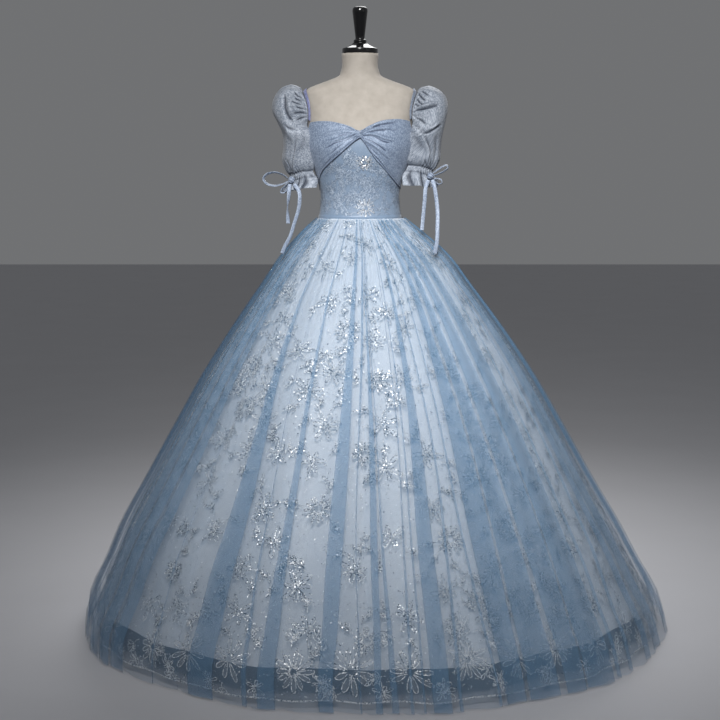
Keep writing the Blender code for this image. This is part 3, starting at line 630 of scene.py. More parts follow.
# %% Bodice panels
def front_panel(out):
    turns = np.linspace(-SIDE_TURN, SIDE_TURN, 120)
    share = np.linspace(0, 1, 80)[:, None]
    heights = WAIST_SEAM + (bodice_top(turns) - UNDER_NECKLINE - WAIST_SEAM) * share
    return form_surface(turns, heights, out)


def back_panel(side, out):
    """From the side seam to the zip, up to the armhole and the straight back neckline."""
    share_up, share_round = np.linspace(0, 1, 64)[:, None], np.linspace(0, 1, 60)
    start = math.pi - SIDE_TURN
    coarse = start + (math.pi - start) * share_round
    top = np.where(coarse > math.radians(ARMHOLE[-1].turn), BACK_NECKLINE_HEIGHT, armhole_height(coarse))
    heights = WAIST_SEAM + (top - WAIST_SEAM) * share_up
    end = math.pi - turn_at(ZIP_HALF_WIDTH + ZIP_GAP, heights)
    turns = side * (start + (end - start) * share_round)
    grid = form_surface(turns, heights, out)
    return grid if side > 0 else grid[:, ::-1]


def panel(node, grids):
    """Satin on the form, and glitter tulle on the satin."""
    for layer, grid, fabric, under in zip(
        ("satin", "tulle"), grids, (blue_satin, base_tulle), ("form_torso", f"{node}_satin")
    ):
        cloth(f"{node}_{layer}", grid, fabric, [node])


outs = (SATIN_OUT, OVERLAY_OUT)
panel("bodice_front", [front_panel(out) for out in outs])
panel("bodice_back_right", [back_panel(-1, out) for out in outs])
panel("bodice_back_left", [back_panel(1, out) for out in outs])

# %% [markdown]
# ### The concealed zip
# A concealed zip shows only as a seam: two folded edges of the tape that roll inwards and meet on the
# middle line. So the strip's cross-section is two low rounds with a sharp valley between them.

# %% Zip
across = np.linspace(-1, 1, 17)
heights = np.linspace(WAIST_SEAM, BACK_NECKLINE_HEIGHT, 70)[:, None]
valley = 0.0011 * np.exp(-np.abs(across) / 0.16) + 0.0009 * np.abs(across) ** 6
turns = math.pi - turn_at(1.15 * ZIP_HALF_WIDTH * across, heights)
zip_grid = form_surface(turns, heights, OVERLAY_OUT + 0.0004 - valley)[:, ::-1]
cloth("bodice_zip_seam", zip_grid, blue_satin, ["bodice_zip"])

# %% [markdown]
# ## Folds on a surface
# A crease is a soft ridge or trough along a line. Its cross-section is a bell with its own width on each
# side of the line: the same width gives a soft roll, and a narrow side gives the edge of a fold that lies
# over its neighbour. The lines are listed as places across and up.

# %% Creases


def crease_rise(across, up, creases):
    """Sum over creases of height x bell(distance), faded at both ends. Left and right are seen along the
    line."""
    total = np.zeros(across.shape)
    for crease in creases:
        line = along(crease.line, np.linspace(0, len(crease.line) - 1, 30))
        run = unit(np.gradient(line, axis=0))
        dx, dz = across[..., None] - line[:, 0], up[..., None] - line[:, 1]
        nearest = np.argmin(dx**2 + dz**2, axis=-1)
        off_x, off_z = across - line[nearest, 0], up - line[nearest, 1]
        aside = run[nearest, 0] * off_z - run[nearest, 1] * off_x
        away = np.sign(aside) * np.hypot(off_x, off_z)
        fade = np.sin(math.pi * (0.04 + 0.92 * nearest / 29)) ** 0.5
        total += crease.height * fade * bell(away, np.where(away > 0, crease.left, crease.right))
    return total


def trough_shade(rise, reach, depth, closed=False):
    """How much lower a point lies than the average around it: 0, to 1 at the given depth. It sets how much
    painted shade a fold's trough gets.
    """
    average = rise
    for axis in (0, 1):
        mode = "wrap" if closed and axis == 1 else "edge"
        pad = [(reach, reach) if axis == i else (0, 0) for i in (0, 1)]
        wide, count = np.pad(average, pad, mode=mode), rise.shape[axis]
        shifted = (np.take(wide, range(i, i + count), axis) for i in range(2 * reach + 1))
        average = sum(shifted) / (2 * reach + 1)
    return np.clip((average - rise) / depth, 0, 1)


# %% [markdown]
# ## The cups
# Each cup is a square of mesh, gathered hard where the two cross at the middle front. From there its folds
# run out like the ribs of a fan and die away before the side seam. A band of the right cup's cloth runs
# along its lower edge, crosses over, and rolls along the left cup's top.
# The cup's form is a height over the form's surface: the fan, then the listed creases.

# %% Cup creases
TWIST_ACROSS, TWIST_HEIGHT = -0.001, 1.379
CUP_CREASES_RIGHT = rows(
    "height left right line",
    (0.0036, 0.0085, 0.0016, ((-0.001, 1.372), (-0.036, 1.348), (-0.072, 1.318), (-0.099, 1.289))),
    (-0.0034, 0.0022, 0.0035, ((-0.012, 1.379), (-0.0359, 1.3633), (-0.0654, 1.3545), (-0.088, 1.343))),
    (0.0026, 0.005, 0.0022, ((-0.01, 1.3815), (-0.04, 1.3725), (-0.066, 1.364), (-0.092, 1.356))),
    (-0.0028, 0.0022, 0.0028, ((-0.0162, 1.38), (-0.0405, 1.3775), (-0.06, 1.3721))),
    (0.002, 0.004, 0.0022, ((-0.012, 1.385), (-0.036, 1.387), (-0.066, 1.384), (-0.09, 1.379))),
    (-0.0022, 0.0022, 0.003, ((-0.014, 1.387), (-0.034, 1.3925), (-0.056, 1.396))),
    (-0.0026, 0.0025, 0.0035, ((-0.0249, 1.37), (-0.0451, 1.3545), (-0.063, 1.3411), (-0.08, 1.323))),
    (0.0016, 0.006, 0.004, ((-0.05, 1.344), (-0.075, 1.325), (-0.1, 1.302))),
)
CUP_CREASES_LEFT = rows(
    "height left right line",
    (0.004, 0.0075, 0.0018, ((-0.004, 1.38), (0.024, 1.3915), (0.048, 1.403), (0.088, 1.411))),
    (-0.0036, 0.002, 0.0028, ((0.0022, 1.374), (0.0338, 1.3725), (0.06, 1.36), (0.076, 1.356))),
    (0.0034, 0.0045, 0.002, ((0.006, 1.377), (0.0338, 1.3775), (0.06, 1.368), (0.084, 1.362))),
    (-0.003, 0.0022, 0.0026, ((0.0046, 1.379), (0.0292, 1.3844), (0.0513, 1.3879), (0.066, 1.388))),
    (0.0024, 0.004, 0.0022, ((0.008, 1.381), (0.034, 1.388), (0.062, 1.393), (0.092, 1.393))),
    (-0.003, 0.0022, 0.0026, ((0.0046, 1.3834), (0.0292, 1.3957), (0.0518, 1.4))),
    (-0.0034, 0.003, 0.0024, ((0.0089, 1.369), (0.0292, 1.3612), (0.0519, 1.3478), (0.066, 1.336))),
    (0.0026, 0.005, 0.0026, ((0.008, 1.364), (0.03, 1.353), (0.052, 1.338), (0.074, 1.318))),
    (-0.0022, 0.0028, 0.0024, ((0.01, 1.36), (0.028, 1.344), (0.046, 1.326))),
    (
        0.0022, 0.003, 0.0014,
        ((0.004, 1.361), (0.0269, 1.3364), (0.0561, 1.3071), (0.0787, 1.2714), (0.104, 1.238)),
    ),
    (0.0012, 0.006, 0.006, ((0.06, 1.352), (0.085, 1.338), (0.104, 1.32))),
)
CUP_OUT = 0.0050


def fan(across, up, ribs):
    """Ribs round the twist: a wave in the angle, strongest 1 cm out and gone 8 cm out."""
    dx, dz = across - TWIST_ACROSS, up - TWIST_HEIGHT
    distance, angle = np.hypot(dx, dz), np.arctan2(dz, np.abs(dx))
    strength = ease(distance / 0.010) * bell(distance, 0.048)
    wave = np.sin(ribs * angle + 1.3 * np.sin(2.3 * angle + ribs)) * 0.5 + 0.5
    return 0.0016 * strength * wave + 0.0020 * bell(distance, 0.014)


def cup_grid(side, edge, creases, ribs):
    """Rows from the lower edge to the top. The first and last rows roll in towards the form."""
    turns = side * np.linspace(FRONT_TURN, SIDE_TURN, 190)
    low, high = cup_edge(edge, turns), bodice_top(turns)
    share = np.concatenate((np.zeros(4), np.linspace(0, 1, 120), np.ones(5)))[:, None]
    heights = low + (high - low) * share
    flat = form_point(turns, heights)
    rise = fan(flat[..., 0], flat[..., 2], ribs) + crease_rise(flat[..., 0], flat[..., 2], creases)
    hem = 0.0005 * bell(heights - high, 0.0030) - 0.0004 * bell(high - heights - 0.0045, 0.0012)
    from_edge = heights - low
    welt = 0.0011 * bell(from_edge - 0.0024, 0.0018) - 0.0006 * bell(from_edge - 0.0056, 0.0012)
    out = CUP_OUT + np.maximum(rise, -0.0006) + hem + welt
    # Painted shade: a dark line along the lower edge, where the cup lies over the panel, and a fainter one in
    # the groove about 6 mm above it.
    painted_edge_shade = bell(from_edge, 0.0016) + 0.5 * bell(from_edge - 0.0058, 0.0012)
    painted_shade = np.maximum(trough_shade(rise, 3, 0.0007), painted_edge_shade)
    # The top edge's last rows, which roll in towards the form, are painted in shade.
    painted_shade[-4:] = 0.6
    # The roll: each further row goes a little round the edge and then down behind it.
    roll = np.zeros(len(share))
    roll[:4], roll[-5:] = (3, 2, 1, 0.4), (0.3, 0.8, 1.4, 2.2, 3.2)
    roll = roll[:, None]
    ends = np.where(share > 0.5, 1.0, -1.0)
    swing = np.clip(roll / 1.4, 0, 1) * math.pi / 2
    half = (out - 0.0042) / 2
    out = np.where(roll > 0, out - half * (1 - np.cos(2 * swing)), out)
    heights = heights + ends * 0.0008 * np.sin(2 * swing) * (roll > 0)
    heights = heights - ends * 0.0012 * np.clip(roll - 1.4, 0, None)
    grid = form_surface(turns, heights, out)
    return (grid, painted_shade) if side > 0 else (grid[:, ::-1], painted_shade[:, ::-1])


def sewn_on(name, grid, fabric, node, painted_shade, closed=False):
    """Gathered mesh that is sewn to the front panel."""
    cloth(name, grid, fabric, [node], closed=closed, painted_shade=painted_shade)


for node, *how in (
    ("bodice_cup_right", -1, CUP_EDGE_RIGHT, CUP_CREASES_RIGHT, 15),
    ("bodice_cup_left", 1, CUP_EDGE_LEFT, CUP_CREASES_LEFT, 17),
):
    grid, painted_shade = cup_grid(*how)
    sewn_on(f"{node}_mesh", grid, cup_mesh, node, painted_shade)

# %% [markdown]
# ## The straps
# A strap is a strip of mesh folded lengthwise, so it has a few soft ridges along it. It lies on the form
# on a cone round the arm, from the neckline's corner over the shoulder to the back neckline.

# %% Straps
ARM_POINT, ARM_CONE = (0.110, 0.0, 1.434), 37.5
STRAP_INNER_CONE, STRAP_OUTER_CONE, STRAP_BACK_END = 27.5, 38.0, 124.0


def arm_cone(side, around, angle, out):
    """A line round the arm's end of the form: 0 is on the shoulder and 90 degrees at the front."""
    around, angle = np.broadcast_arrays(around, angle)
    start = np.array(ARM_POINT) * (side, 1, 1)
    sine, cosine = np.sin(angle), np.cos(angle)
    direction = np.stack((side * sine, -cosine * np.sin(around), cosine * np.cos(around)), axis=-1)
    return start + direction * (form_distance(direction, start) + out)[..., None]


def strap_grid(side, front_end):
    """Lengthwise folds: cosines across the strip that shift a little along it, with thin edges."""
    around = np.radians(np.linspace(front_end, -STRAP_BACK_END, 150))[:, None]
    share = np.linspace(0, 1, 28)
    shift = 0.35 * np.sin(3.1 * around + side) + 0.2 * np.sin(7.3 * around)
    folds = 0.00055 * (1 + np.cos(2 * math.pi * (2.6 * share + shift)))
    edges = 0.0012 * (1 - (2 * share - 1) ** 8)
    cone = np.radians(STRAP_INNER_CONE + (STRAP_OUTER_CONE - STRAP_INNER_CONE) * share)
    grid = arm_cone(side, around, cone, 0.0021 + edges + folds)
    return grid[::-1] if side < 0 else grid


for node, grid, fabric in (
    ("strap_right", strap_grid(-1, 111.0), strap_mesh),
    ("strap_left", strap_grid(1, 106.0), grey_strap_mesh),
):
    cloth(f"{node}_folded", grid, fabric, [node])

# %% [markdown]
# ## The sleeves
# A puff sleeve is a tube that is wider than the armhole. It is gathered into the armhole, swells over the
# shoulder, and a drawstring in a casing pulls it in again above a frill. The rings below give its outer
# line, its line beside the bodice and its depth, and a smooth surface runs through them.

# %% Sleeve tables
SLEEVE_CLEARANCE, ARMHOLE_CLEARANCE = 0.0072, 0.0066
SLEEVE_RIGHT = rows(
    "outer_x outer_z inner_z stand_off half_depth gather",
    (0.166, 1.508, 1.364, 0.0004, 0.05, 0.002),
    (0.191, 1.516, 1.357, 0.0, 0.056, 0.003),
    (0.218, 1.506, 1.349, 0.0, 0.061, 0.003),
    (0.237, 1.478, 1.341, 0.0, 0.064, 0.002),
    (0.242, 1.445, 1.332, 0.0, 0.063, 0.001),
    (0.228, 1.412, 1.324, 0.0005, 0.06, 0.0005),
    (0.214, 1.382, 1.316, 0.001, 0.057, 0.0005),
    (0.211, 1.346, 1.306, 0.0015, 0.055, 0.001),
    (0.216, 1.308, 1.297, 0.003, 0.053, 0.002),
    (0.207, 1.28, 1.288, 0.004, 0.046, 0.003),
    (0.194, 1.26, 1.279, 0.006, 0.036, 0.0026),
    (0.207, 1.238, 1.26, 0.001, 0.044, 0.004),
    (0.216, 1.222, 1.238, 0.012, 0.05, 0.005),
)
SLEEVE_LEFT = rows(
    "outer_x outer_z inner_z stand_off half_depth gather",
    (0.166, 1.507, 1.364, 0.0004, 0.05, 0.002),
    (0.191, 1.514, 1.357, 0.0, 0.056, 0.003),
    (0.218, 1.503, 1.349, 0.0, 0.062, 0.003),
    (0.237, 1.482, 1.341, 0.0, 0.064, 0.002),
    (0.244, 1.452, 1.332, 0.0, 0.063, 0.001),
    (0.238, 1.416, 1.324, 0.0005, 0.06, 0.0005),
    (0.229, 1.382, 1.318, 0.001, 0.057, 0.0005),
    (0.224, 1.346, 1.312, 0.001, 0.055, 0.001),
    (0.224, 1.312, 1.306, 0.0015, 0.053, 0.002),
    (0.214, 1.29, 1.302, 0.002, 0.046, 0.003),
    (0.202, 1.272, 1.296, 0.002, 0.036, 0.0026),
    (0.214, 1.254, 1.27, 0.001, 0.045, 0.004),
    (0.216, 1.235, 1.242, 0.012, 0.052, 0.005),
)
SLEEVE_GATHERS, FRONT_GATHERS = 10, 0.35
SLEEVE_NESTLE, BODICE_HALF_DEPTH = 0.0010, 0.100
CASING_ROW = 11.0  # the drawstring's ring, counted from the armhole
SLEEVE_CREASES_RIGHT = rows(
    "height left right line",
    (
        -0.0085, 0.003, 0.006,
        ((-0.2061, 1.486), (-0.2057, 1.4638), (-0.2033, 1.4476), (-0.1952, 1.4314), (-0.1838, 1.4179)),
    ),
    (0.005, 0.007, 0.0035, ((-0.196, 1.48), (-0.195, 1.46), (-0.19, 1.442), (-0.18, 1.429))),
    (-0.005, 0.0022, 0.0028, ((-0.178, 1.496), (-0.1709, 1.4891), (-0.1587, 1.4805))),
    (-0.0045, 0.002, 0.0025, ((-0.1759, 1.479), (-0.1563, 1.471))),
    (-0.0055, 0.0022, 0.003, ((-0.185, 1.47), (-0.1759, 1.4661), (-0.1563, 1.4598))),
    (-0.004, 0.002, 0.0025, ((-0.173, 1.454), (-0.154, 1.449))),
    (-0.0048, 0.0022, 0.0028, ((-0.178, 1.437), (-0.1665, 1.4385), (-0.1515, 1.4382))),
    (-0.0038, 0.0022, 0.0025, ((-0.172, 1.418), (-0.153, 1.426))),
    (
        0.005, 0.006, 0.0018,
        ((-0.1636, 1.39), (-0.17, 1.3611), (-0.178, 1.3318), (-0.1835, 1.2932), (-0.1812, 1.264)),
    ),
    (-0.005, 0.002, 0.004, ((-0.2154, 1.312), (-0.2018, 1.286), (-0.1921, 1.2652))),
    (-0.0036, 0.002, 0.0035, ((-0.206, 1.314), (-0.196, 1.288), (-0.19, 1.268))),
    (-0.004, 0.003, 0.006, ((-0.208, 1.406), (-0.196, 1.396), (-0.18, 1.392))),
    (0.003, 0.006, 0.004, ((-0.199, 1.39), (-0.202, 1.35), (-0.204, 1.31))),
)
SLEEVE_CREASES_LEFT = rows(
    "height left right line",
    (-0.0075, 0.0045, 0.0025, ((0.1539, 1.4443), (0.1736, 1.4478), (0.196, 1.4536), (0.212, 1.458))),
    (0.0045, 0.0025, 0.007, ((0.16, 1.454), (0.18, 1.458), (0.205, 1.466))),
    (-0.006, 0.004, 0.0025, ((0.18, 1.3816), (0.19, 1.3846), (0.205, 1.3925), (0.2213, 1.4051))),
    (0.0035, 0.003, 0.006, ((0.18, 1.392), (0.2, 1.399), (0.215, 1.411))),
    (
        0.0065, 0.0018, 0.009,
        ((0.1415, 1.4082), (0.1668, 1.3811), (0.1817, 1.3565), (0.1903, 1.3318), (0.1845, 1.2973)),
    ),
    (-0.005, 0.0025, 0.0025, ((0.1527, 1.48), (0.16, 1.469), (0.1691, 1.4611))),
    (-0.0055, 0.0025, 0.0028, ((0.1581, 1.4934), (0.168, 1.481), (0.1773, 1.4719))),
    (-0.004, 0.0022, 0.0028, ((0.168, 1.5), (0.178, 1.493), (0.186, 1.488))),
    (-0.0045, 0.0022, 0.0028, ((0.148, 1.464), (0.16, 1.456))),
    (-0.004, 0.0022, 0.004, ((0.148, 1.425), (0.165, 1.418), (0.178, 1.408))),
    (-0.0036, 0.003, 0.005, ((0.21, 1.37), (0.211, 1.335), (0.205, 1.305))),
    (-0.004, 0.002, 0.0035, ((0.196, 1.318), (0.196, 1.3), (0.194, 1.282))),
    (-0.0036, 0.002, 0.0035, ((0.178, 1.31), (0.182, 1.296), (0.188, 1.283))),
)


# %% Sleeve surface
def sleeve_rings(side, table, columns):
    """The armhole's line, then an ellipse for each row, between its outer and its inner point."""
    around = circle(columns)
    rings = [arm_cone(side, around, np.radians(ARM_CONE), ARMHOLE_CLEARANCE)]
    for puff in table:
        inner_x = form("half_width", puff.inner_z) + SLEEVE_CLEARANCE + puff.stand_off
        outer = np.array((side * puff.outer_x, 0.0, puff.outer_z))
        inner = np.array((side * inner_x, 0.0, puff.inner_z))
        middle, reach = (outer + inner) / 2, (outer - inner) / 2
        front = np.array((0.0, -puff.half_depth, 0.0))
        # At its front the inner side nestles against the bodice, which curves away there.
        away = np.sin(around) * puff.half_depth / BODICE_HALF_DEPTH
        room = abs(reach[0]) * (1 + np.cos(around)) + inner_x * (1 - np.sqrt(np.clip(1 - away**2, 0.2, 1)))
        beside = ease((around / math.pi - 0.58) / 0.14) * ease((1.0 - around / math.pi) / 0.08)
        nestle = np.array((-side, 0.0, 0.0)) * ((room + SLEEVE_NESTLE) * beside)[:, None]
        rings.append(middle + np.cos(around)[:, None] * reach + np.sin(around)[:, None] * front + nestle)
    return around, np.array(rings)


def normals_of(grid):
    """Unit normals of a tube by central differences."""
    return unit(np.cross(np.roll(grid, -1, axis=1) - np.roll(grid, 1, axis=1), np.gradient(grid, axis=0)))


def sleeve_grid(side, table, creases, seed):
    """Smooth rings, moved in and out along their normals by the gathers, the creases and the frill's
    waves."""
    around, rings = sleeve_rings(side, table, 236)
    last = len(rings) - 1
    at = np.linspace(0, last, 136)
    grid = along(rings, at)
    normal = normals_of(grid)
    normal = normal * np.sign((normal * (grid - grid.mean(axis=1, keepdims=True))).sum(axis=-1).mean())
    row = at[:, None]
    free = np.clip((1 + np.cos(around)) / 2 + FRONT_GATHERS * np.sin(around) ** 2, 0, 1)
    # Gathers run from the armhole and on both sides of the casing, and each dies away at its own length.
    uneven = 0.6 + 0.4 * np.sin(5 * around + seed) + 0.25 * np.sin(13 * around + 2 * seed)
    fine = 0.5 - 0.5 * np.cos(27 * around + 1.6 * np.sin(3 * around + seed) + 0.25 * row)
    broad = 0.5 - 0.5 * np.cos(SLEEVE_GATHERS * around)
    armhole = 0.0030 * fine * np.exp(-row / (1.0 + 0.8 * np.clip(uneven, 0.2, 1.2))) * ease(row / 0.25)
    casing = np.abs(row - CASING_ROW)
    cuff = 0.0026 * fine * bell(casing, 1.5) * ease((casing + 0.15) / 0.5) * (0.45 + 0.55 * free)
    bend = 6.5 * around + seed + 0.6 * np.sin(3 * around) + 0.25 * np.sin(2 * row)
    frill = 0.0110 * (np.abs(np.sin(bend)) - 0.6) * ease((row - CASING_ROW) / 1.2) * free
    channel = 0.0014 * bell(row - CASING_ROW, 0.16) - 0.0016 * bell(casing - 0.42, 0.13)
    gathered = along(column(table, "gather"), np.clip(at - 1, 0, last - 1))[:, None]
    in_front, behind = grid[..., 1] < 0, grid[..., 1] >= 0
    facing = np.clip(np.abs(normal[..., 1]) * 1.6, 0, 1)
    placed = crease_rise(grid[..., 0], grid[..., 2], creases) * in_front
    placed = placed + 0.8 * crease_rise(0.985 * grid[..., 0], grid[..., 2] + 0.012, creases) * behind
    # Slow dents, as thin cloth never fills out evenly.
    dents = 0.0016 * np.sin(3 * around + 0.9 * row + seed) * np.sin(0.8 * row + 2 * seed)
    dents = dents * ease(row / 2) * ease((last - row) / 2)
    rise = placed * facing * ease((row - 0.1) / 0.5) + dents * free
    rise = rise - (armhole + cuff) * np.clip(free + 0.15, 0, 1) - 0.72 * gathered * free * broad
    rise = rise + frill + channel * free
    # Painted shade: in the troughs of the folds, and along the casing's two grooves.
    painted_seam_shade = 0.75 * bell(casing - 0.46, 0.10) * (0.4 + 0.6 * free)
    depth = 0.0022 - 0.0013 * ease((row - CASING_ROW) / 0.6)
    return grid + normal * rise[..., None], np.maximum(trough_shade(rise, 3, depth, True), painted_seam_shade)


def build_sleeve(name, side, table, creases, seed):
    grid, painted_shade = sleeve_grid(side, table, creases, seed)
    outward = (normals_of(grid) * (grid - grid.mean(axis=(0, 1)))).sum(axis=-1).mean() > 0
    grid, painted_shade = (grid, painted_shade) if outward else (grid[::-1], painted_shade[::-1])
    sewn_on(f"{name}_puff", grid, sleeve_mesh, name, painted_shade, closed=True)


build_sleeve("sleeve_right", -1, SLEEVE_RIGHT, SLEEVE_CREASES_RIGHT, 0.7)
build_sleeve("sleeve_left", 1, SLEEVE_LEFT, SLEEVE_CREASES_LEFT, 2.9)

# %% [markdown]
# ## The drawstrings
# Each drawstring is a narrow strip of the mesh, sewn into a flat tube. It leaves the casing at a knot,
# makes two loops and hangs in two tails. A flat strip along a curved route, turned about its own line,
# gives each of them; the knot is a small lump with the strip's turns cut into it.

# %% Drawstring routes
KNOTS = {"drawstring_knot_right": (-0.189, -0.042, 1.255), "drawstring_knot_left": (0.194, -0.044, 1.266)}
KNOT_SIZE = (0.0085, 0.0065, 0.0080)
RIBBON_WIDTH = 0.0104
ROUTES = {
    "drawstring_loop_right_large": rows(
        "x y z turn",
        (-0.1995, -0.041, 1.259, 75), (-0.213, -0.045, 1.269, 70), (-0.234, -0.048, 1.2755, 65),
        (-0.255, -0.049, 1.271, 60), (-0.2655, -0.049, 1.2585, 60), (-0.256, -0.049, 1.245, 60),
        (-0.236, -0.048, 1.2395, 65), (-0.214, -0.045, 1.244, 70), (-0.199, -0.041, 1.251, 75),
    ),
    "drawstring_loop_right_small": rows(
        "x y z turn",
        (-0.2, -0.049, 1.244, 75), (-0.207, -0.052, 1.237, 75), (-0.215, -0.053, 1.229, 75),
        (-0.217, -0.052, 1.221, 75), (-0.209, -0.05, 1.221, 75), (-0.203, -0.048, 1.228, 75),
        (-0.1975, -0.046, 1.237, 75),
    ),
    "drawstring_loop_left_large": rows(
        "x y z turn",
        (0.201, -0.042, 1.2745, 75), (0.213, -0.046, 1.283, 70), (0.226, -0.05, 1.2915, 70),
        (0.238, -0.053, 1.2955, 70), (0.2415, -0.054, 1.287, 70), (0.23, -0.053, 1.278, 70),
        (0.216, -0.048, 1.271, 70), (0.2045, -0.042, 1.2665, 75),
    ),
    "drawstring_loop_left_small": rows(
        "x y z turn",
        (0.205, -0.046, 1.26, 75), (0.214, -0.051, 1.259, 75), (0.223, -0.054, 1.256, 75),
        (0.226, -0.054, 1.247, 75), (0.217, -0.052, 1.243, 75), (0.208, -0.049, 1.247, 75),
        (0.203, -0.045, 1.253, 75),
    ),
    "drawstring_tail_right_outer": rows(
        "x y z turn",
        (-0.193, -0.054, 1.244, 0), (-0.195, -0.06, 1.222, 10), (-0.197, -0.059, 1.2, 45),
        (-0.199, -0.057, 1.18, 80), (-0.199, -0.058, 1.158, 40), (-0.198, -0.06, 1.136, 10),
    ),
    "drawstring_tail_right_inner": rows(
        "x y z turn",
        (-0.181, -0.054, 1.244, 0), (-0.167, -0.062, 1.222, 10), (-0.166, -0.066, 1.195, 20),
        (-0.17, -0.068, 1.17, 25), (-0.18, -0.074, 1.138, 30), (-0.191, -0.084, 1.103, 30),
        (-0.204, -0.1, 1.078, 30), (-0.213, -0.115, 1.057, 25),
    ),
    "drawstring_tail_left_inner": rows(
        "x y z turn",
        (0.188, -0.054, 1.2555, 0), (0.18, -0.062, 1.232, 0), (0.178, -0.066, 1.205, 5),
        (0.175, -0.068, 1.17, 10), (0.172, -0.072, 1.14, 10), (0.17, -0.078, 1.118, 10),
    ),
    "drawstring_tail_left_outer": rows(
        "x y z turn",
        (0.199, -0.054, 1.2555, 0), (0.205, -0.061, 1.234, -5), (0.21, -0.066, 1.2, -10),
        (0.213, -0.074, 1.164, -10), (0.212, -0.088, 1.125, -5), (0.21, -0.108, 1.09, 0),
        (0.203, -0.137, 1.058, 5),
    ),
}


# %% Drawstrings
def ribbon_grid(route, steps):
    """The route's line, with points across it: a shallow arch, so that the strip has a soft middle."""
    marks = along(np.array(route), np.linspace(0, len(route) - 1, steps))
    middle, turn = marks[:, :3], np.radians(marks[:, 3:])
    ahead = unit(np.gradient(middle, axis=0))
    front = np.array((0.0, -1.0, 0.0))
    forward = unit(front - ahead * (ahead @ front)[:, None])
    sideways = np.cross(ahead, forward)
    across = sideways * np.cos(turn) + forward * np.sin(turn)
    through = forward * np.cos(turn) - sideways * np.sin(turn)
    share = np.linspace(-1, 1, 9)[None, :, None]
    arch = 0.0009 * (1 - share**2) - 0.0004
    return middle[:, None] + across[:, None] * share * RIBBON_WIDTH / 2 + through[:, None] * arch


for name, route in ROUTES.items():
    grid = ribbon_grid(route, 14 * len(route))
    strip = cloth(f"{name}_strip", grid, cord_mesh, [name])
    wall = strip.modifiers.new("sewn double", "SOLIDIFY")
    wall.thickness, wall.offset = 0.0012, 0.0


def knot_mesh(name, knot):
    """A small ball, whose radius has the slanting turns of the strip cut into it."""
    around, up = circle(48), np.radians(np.linspace(-88, 88, 32))[:, None]
    lap = np.abs(np.cos(1.5 * around + 2.4 * up))
    turns = 0.92 + 0.26 * lap
    ball = stack(np.cos(up) * np.sin(around), -np.cos(up) * np.cos(around), np.sin(up))
    place = np.array(knot) + ball * turns[..., None] * np.array(KNOT_SIZE)
    # The colour is painted darker between the strip's turns, as shade.
    return grid_mesh(name, place, True, np.clip(1 - 2.4 * lap, 0, 1))


for name, knot in KNOTS.items():
    lump = piece(f"{name}_tied", knot_mesh(f"{name}_tied", knot), cord_mesh)
    close_ends(lump)
    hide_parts(name)

# %% [markdown]
# ## The skirt's shape
# The skirt is three tubes, one inside the other: a white lining, a tulle with glitter flowers, and a plain
# tulle over all. They share one profile. Each layer steps in by the depth of the folds outside it, so
# no layer meets the next one. At the waist they have the form's own section, and they are round below it.

# %% Skirt tables
SKIRT_PROFILE = rows(
    "height radius shift",
    (1.15, 0.1245, 0.002), (1.11, 0.17, 0.006), (1.06, 0.223, 0.012), (0.96, 0.298, 0.016),
    (0.845, 0.381, 0.019), (0.713, 0.468, 0.021), (0.592, 0.538, 0.022), (0.395, 0.649, 0.022),
    (0.285, 0.713, 0.024), (0.175, 0.766, 0.03), (0.09, 0.812, 0.034), (0.0, 0.829, 0.044),
)
FOLD_DEPTHS = rows(
    "height outer outer_gap glitter glitter_gap lining",
    (0.0, 0.013, 0.006, 0.007, 0.009, 0.006),
    (0.3, 0.0105, 0.0055, 0.0055, 0.0075, 0.005),
    (0.7, 0.0075, 0.005, 0.0045, 0.006, 0.004),
    (1.0, 0.0045, 0.004, 0.0025, 0.004, 0.0025),
    (1.1, 0.0026, 0.003, 0.0014, 0.003, 0.0014),
    (1.15, 0.0012, 0.0018, 0.0006, 0.0018, 0.0004),
)
MAIN_FOLDS = rows(
    "turn width rise",
    (-152, 9, -0.01), (-118, 8, 0.008), (-84, 7, -0.009), (-61, 8, 0.01), (-38, 5, -0.01), (-21, 5, 0.009),
    (-6, 3, -0.007), (11, 4, 0.008), (27, 5, -0.01), (45, 6, 0.01), (68, 6, -0.009), (95, 8, 0.009),
    (129, 8, -0.01), (165, 8, 0.008),
)
HEM_HEIGHT, GLITTER_HEM_HEIGHT, LINING_HEM_HEIGHT, SKIRT_TOP = 0.006, 0.018, 0.090, 1.1495
OUTER_FOLDS, GLITTER_FOLDS, LINING_FOLDS = 48, 26, 16
MAIN_FOLDS_START, ROUND_BELOW_WAIST = 1.10, 0.22


# %% Skirt shape
def main_folds(turn, height):
    """The largest folds, full at the hem and fading out at the waist."""
    total = np.zeros(np.broadcast(turn, height).shape)
    for fold in MAIN_FOLDS:
        apart = np.degrees(np.angle(np.exp(1j * (turn - math.radians(fold.turn)))))
        total = total + fold.rise * bell(apart, fold.width)
    return total * np.clip(1 - height / MAIN_FOLDS_START, 0, 1) ** 0.7


def uneven(turn):
    """How deep the folds are round the skirt, about 1."""
    return 1 + 0.22 * np.sin(3 * turn + 0.6) + 0.16 * np.sin(7 * turn + 2.1)


def depth_of(name, height):
    return read(FOLD_DEPTHS, name, height)


def wave(folds, layer, turn):
    """0 on a layer's ridges and 2 in its troughs, a little unevenly spaced."""
    phase = 0.25 * np.sin(2 * turn + layer) + 0.15 * np.sin(5 * turn + 1.3)
    return 1 - np.cos(folds * (turn + phase / 6))


def ridge_radius(layer, turn, height):
    """The radius on a layer's ridges: the profile with the main folds, less the depth of the layers
    outside."""
    radius = read(SKIRT_PROFILE, "radius", height) + main_folds(turn, height)
    if layer > 0:
        radius = radius - 2 * depth_of("outer", height) * uneven(turn) - depth_of("outer_gap", height)
    if layer > 1:
        radius = radius - 2 * depth_of("glitter", height) * uneven(turn) - depth_of("glitter_gap", height)
    return radius


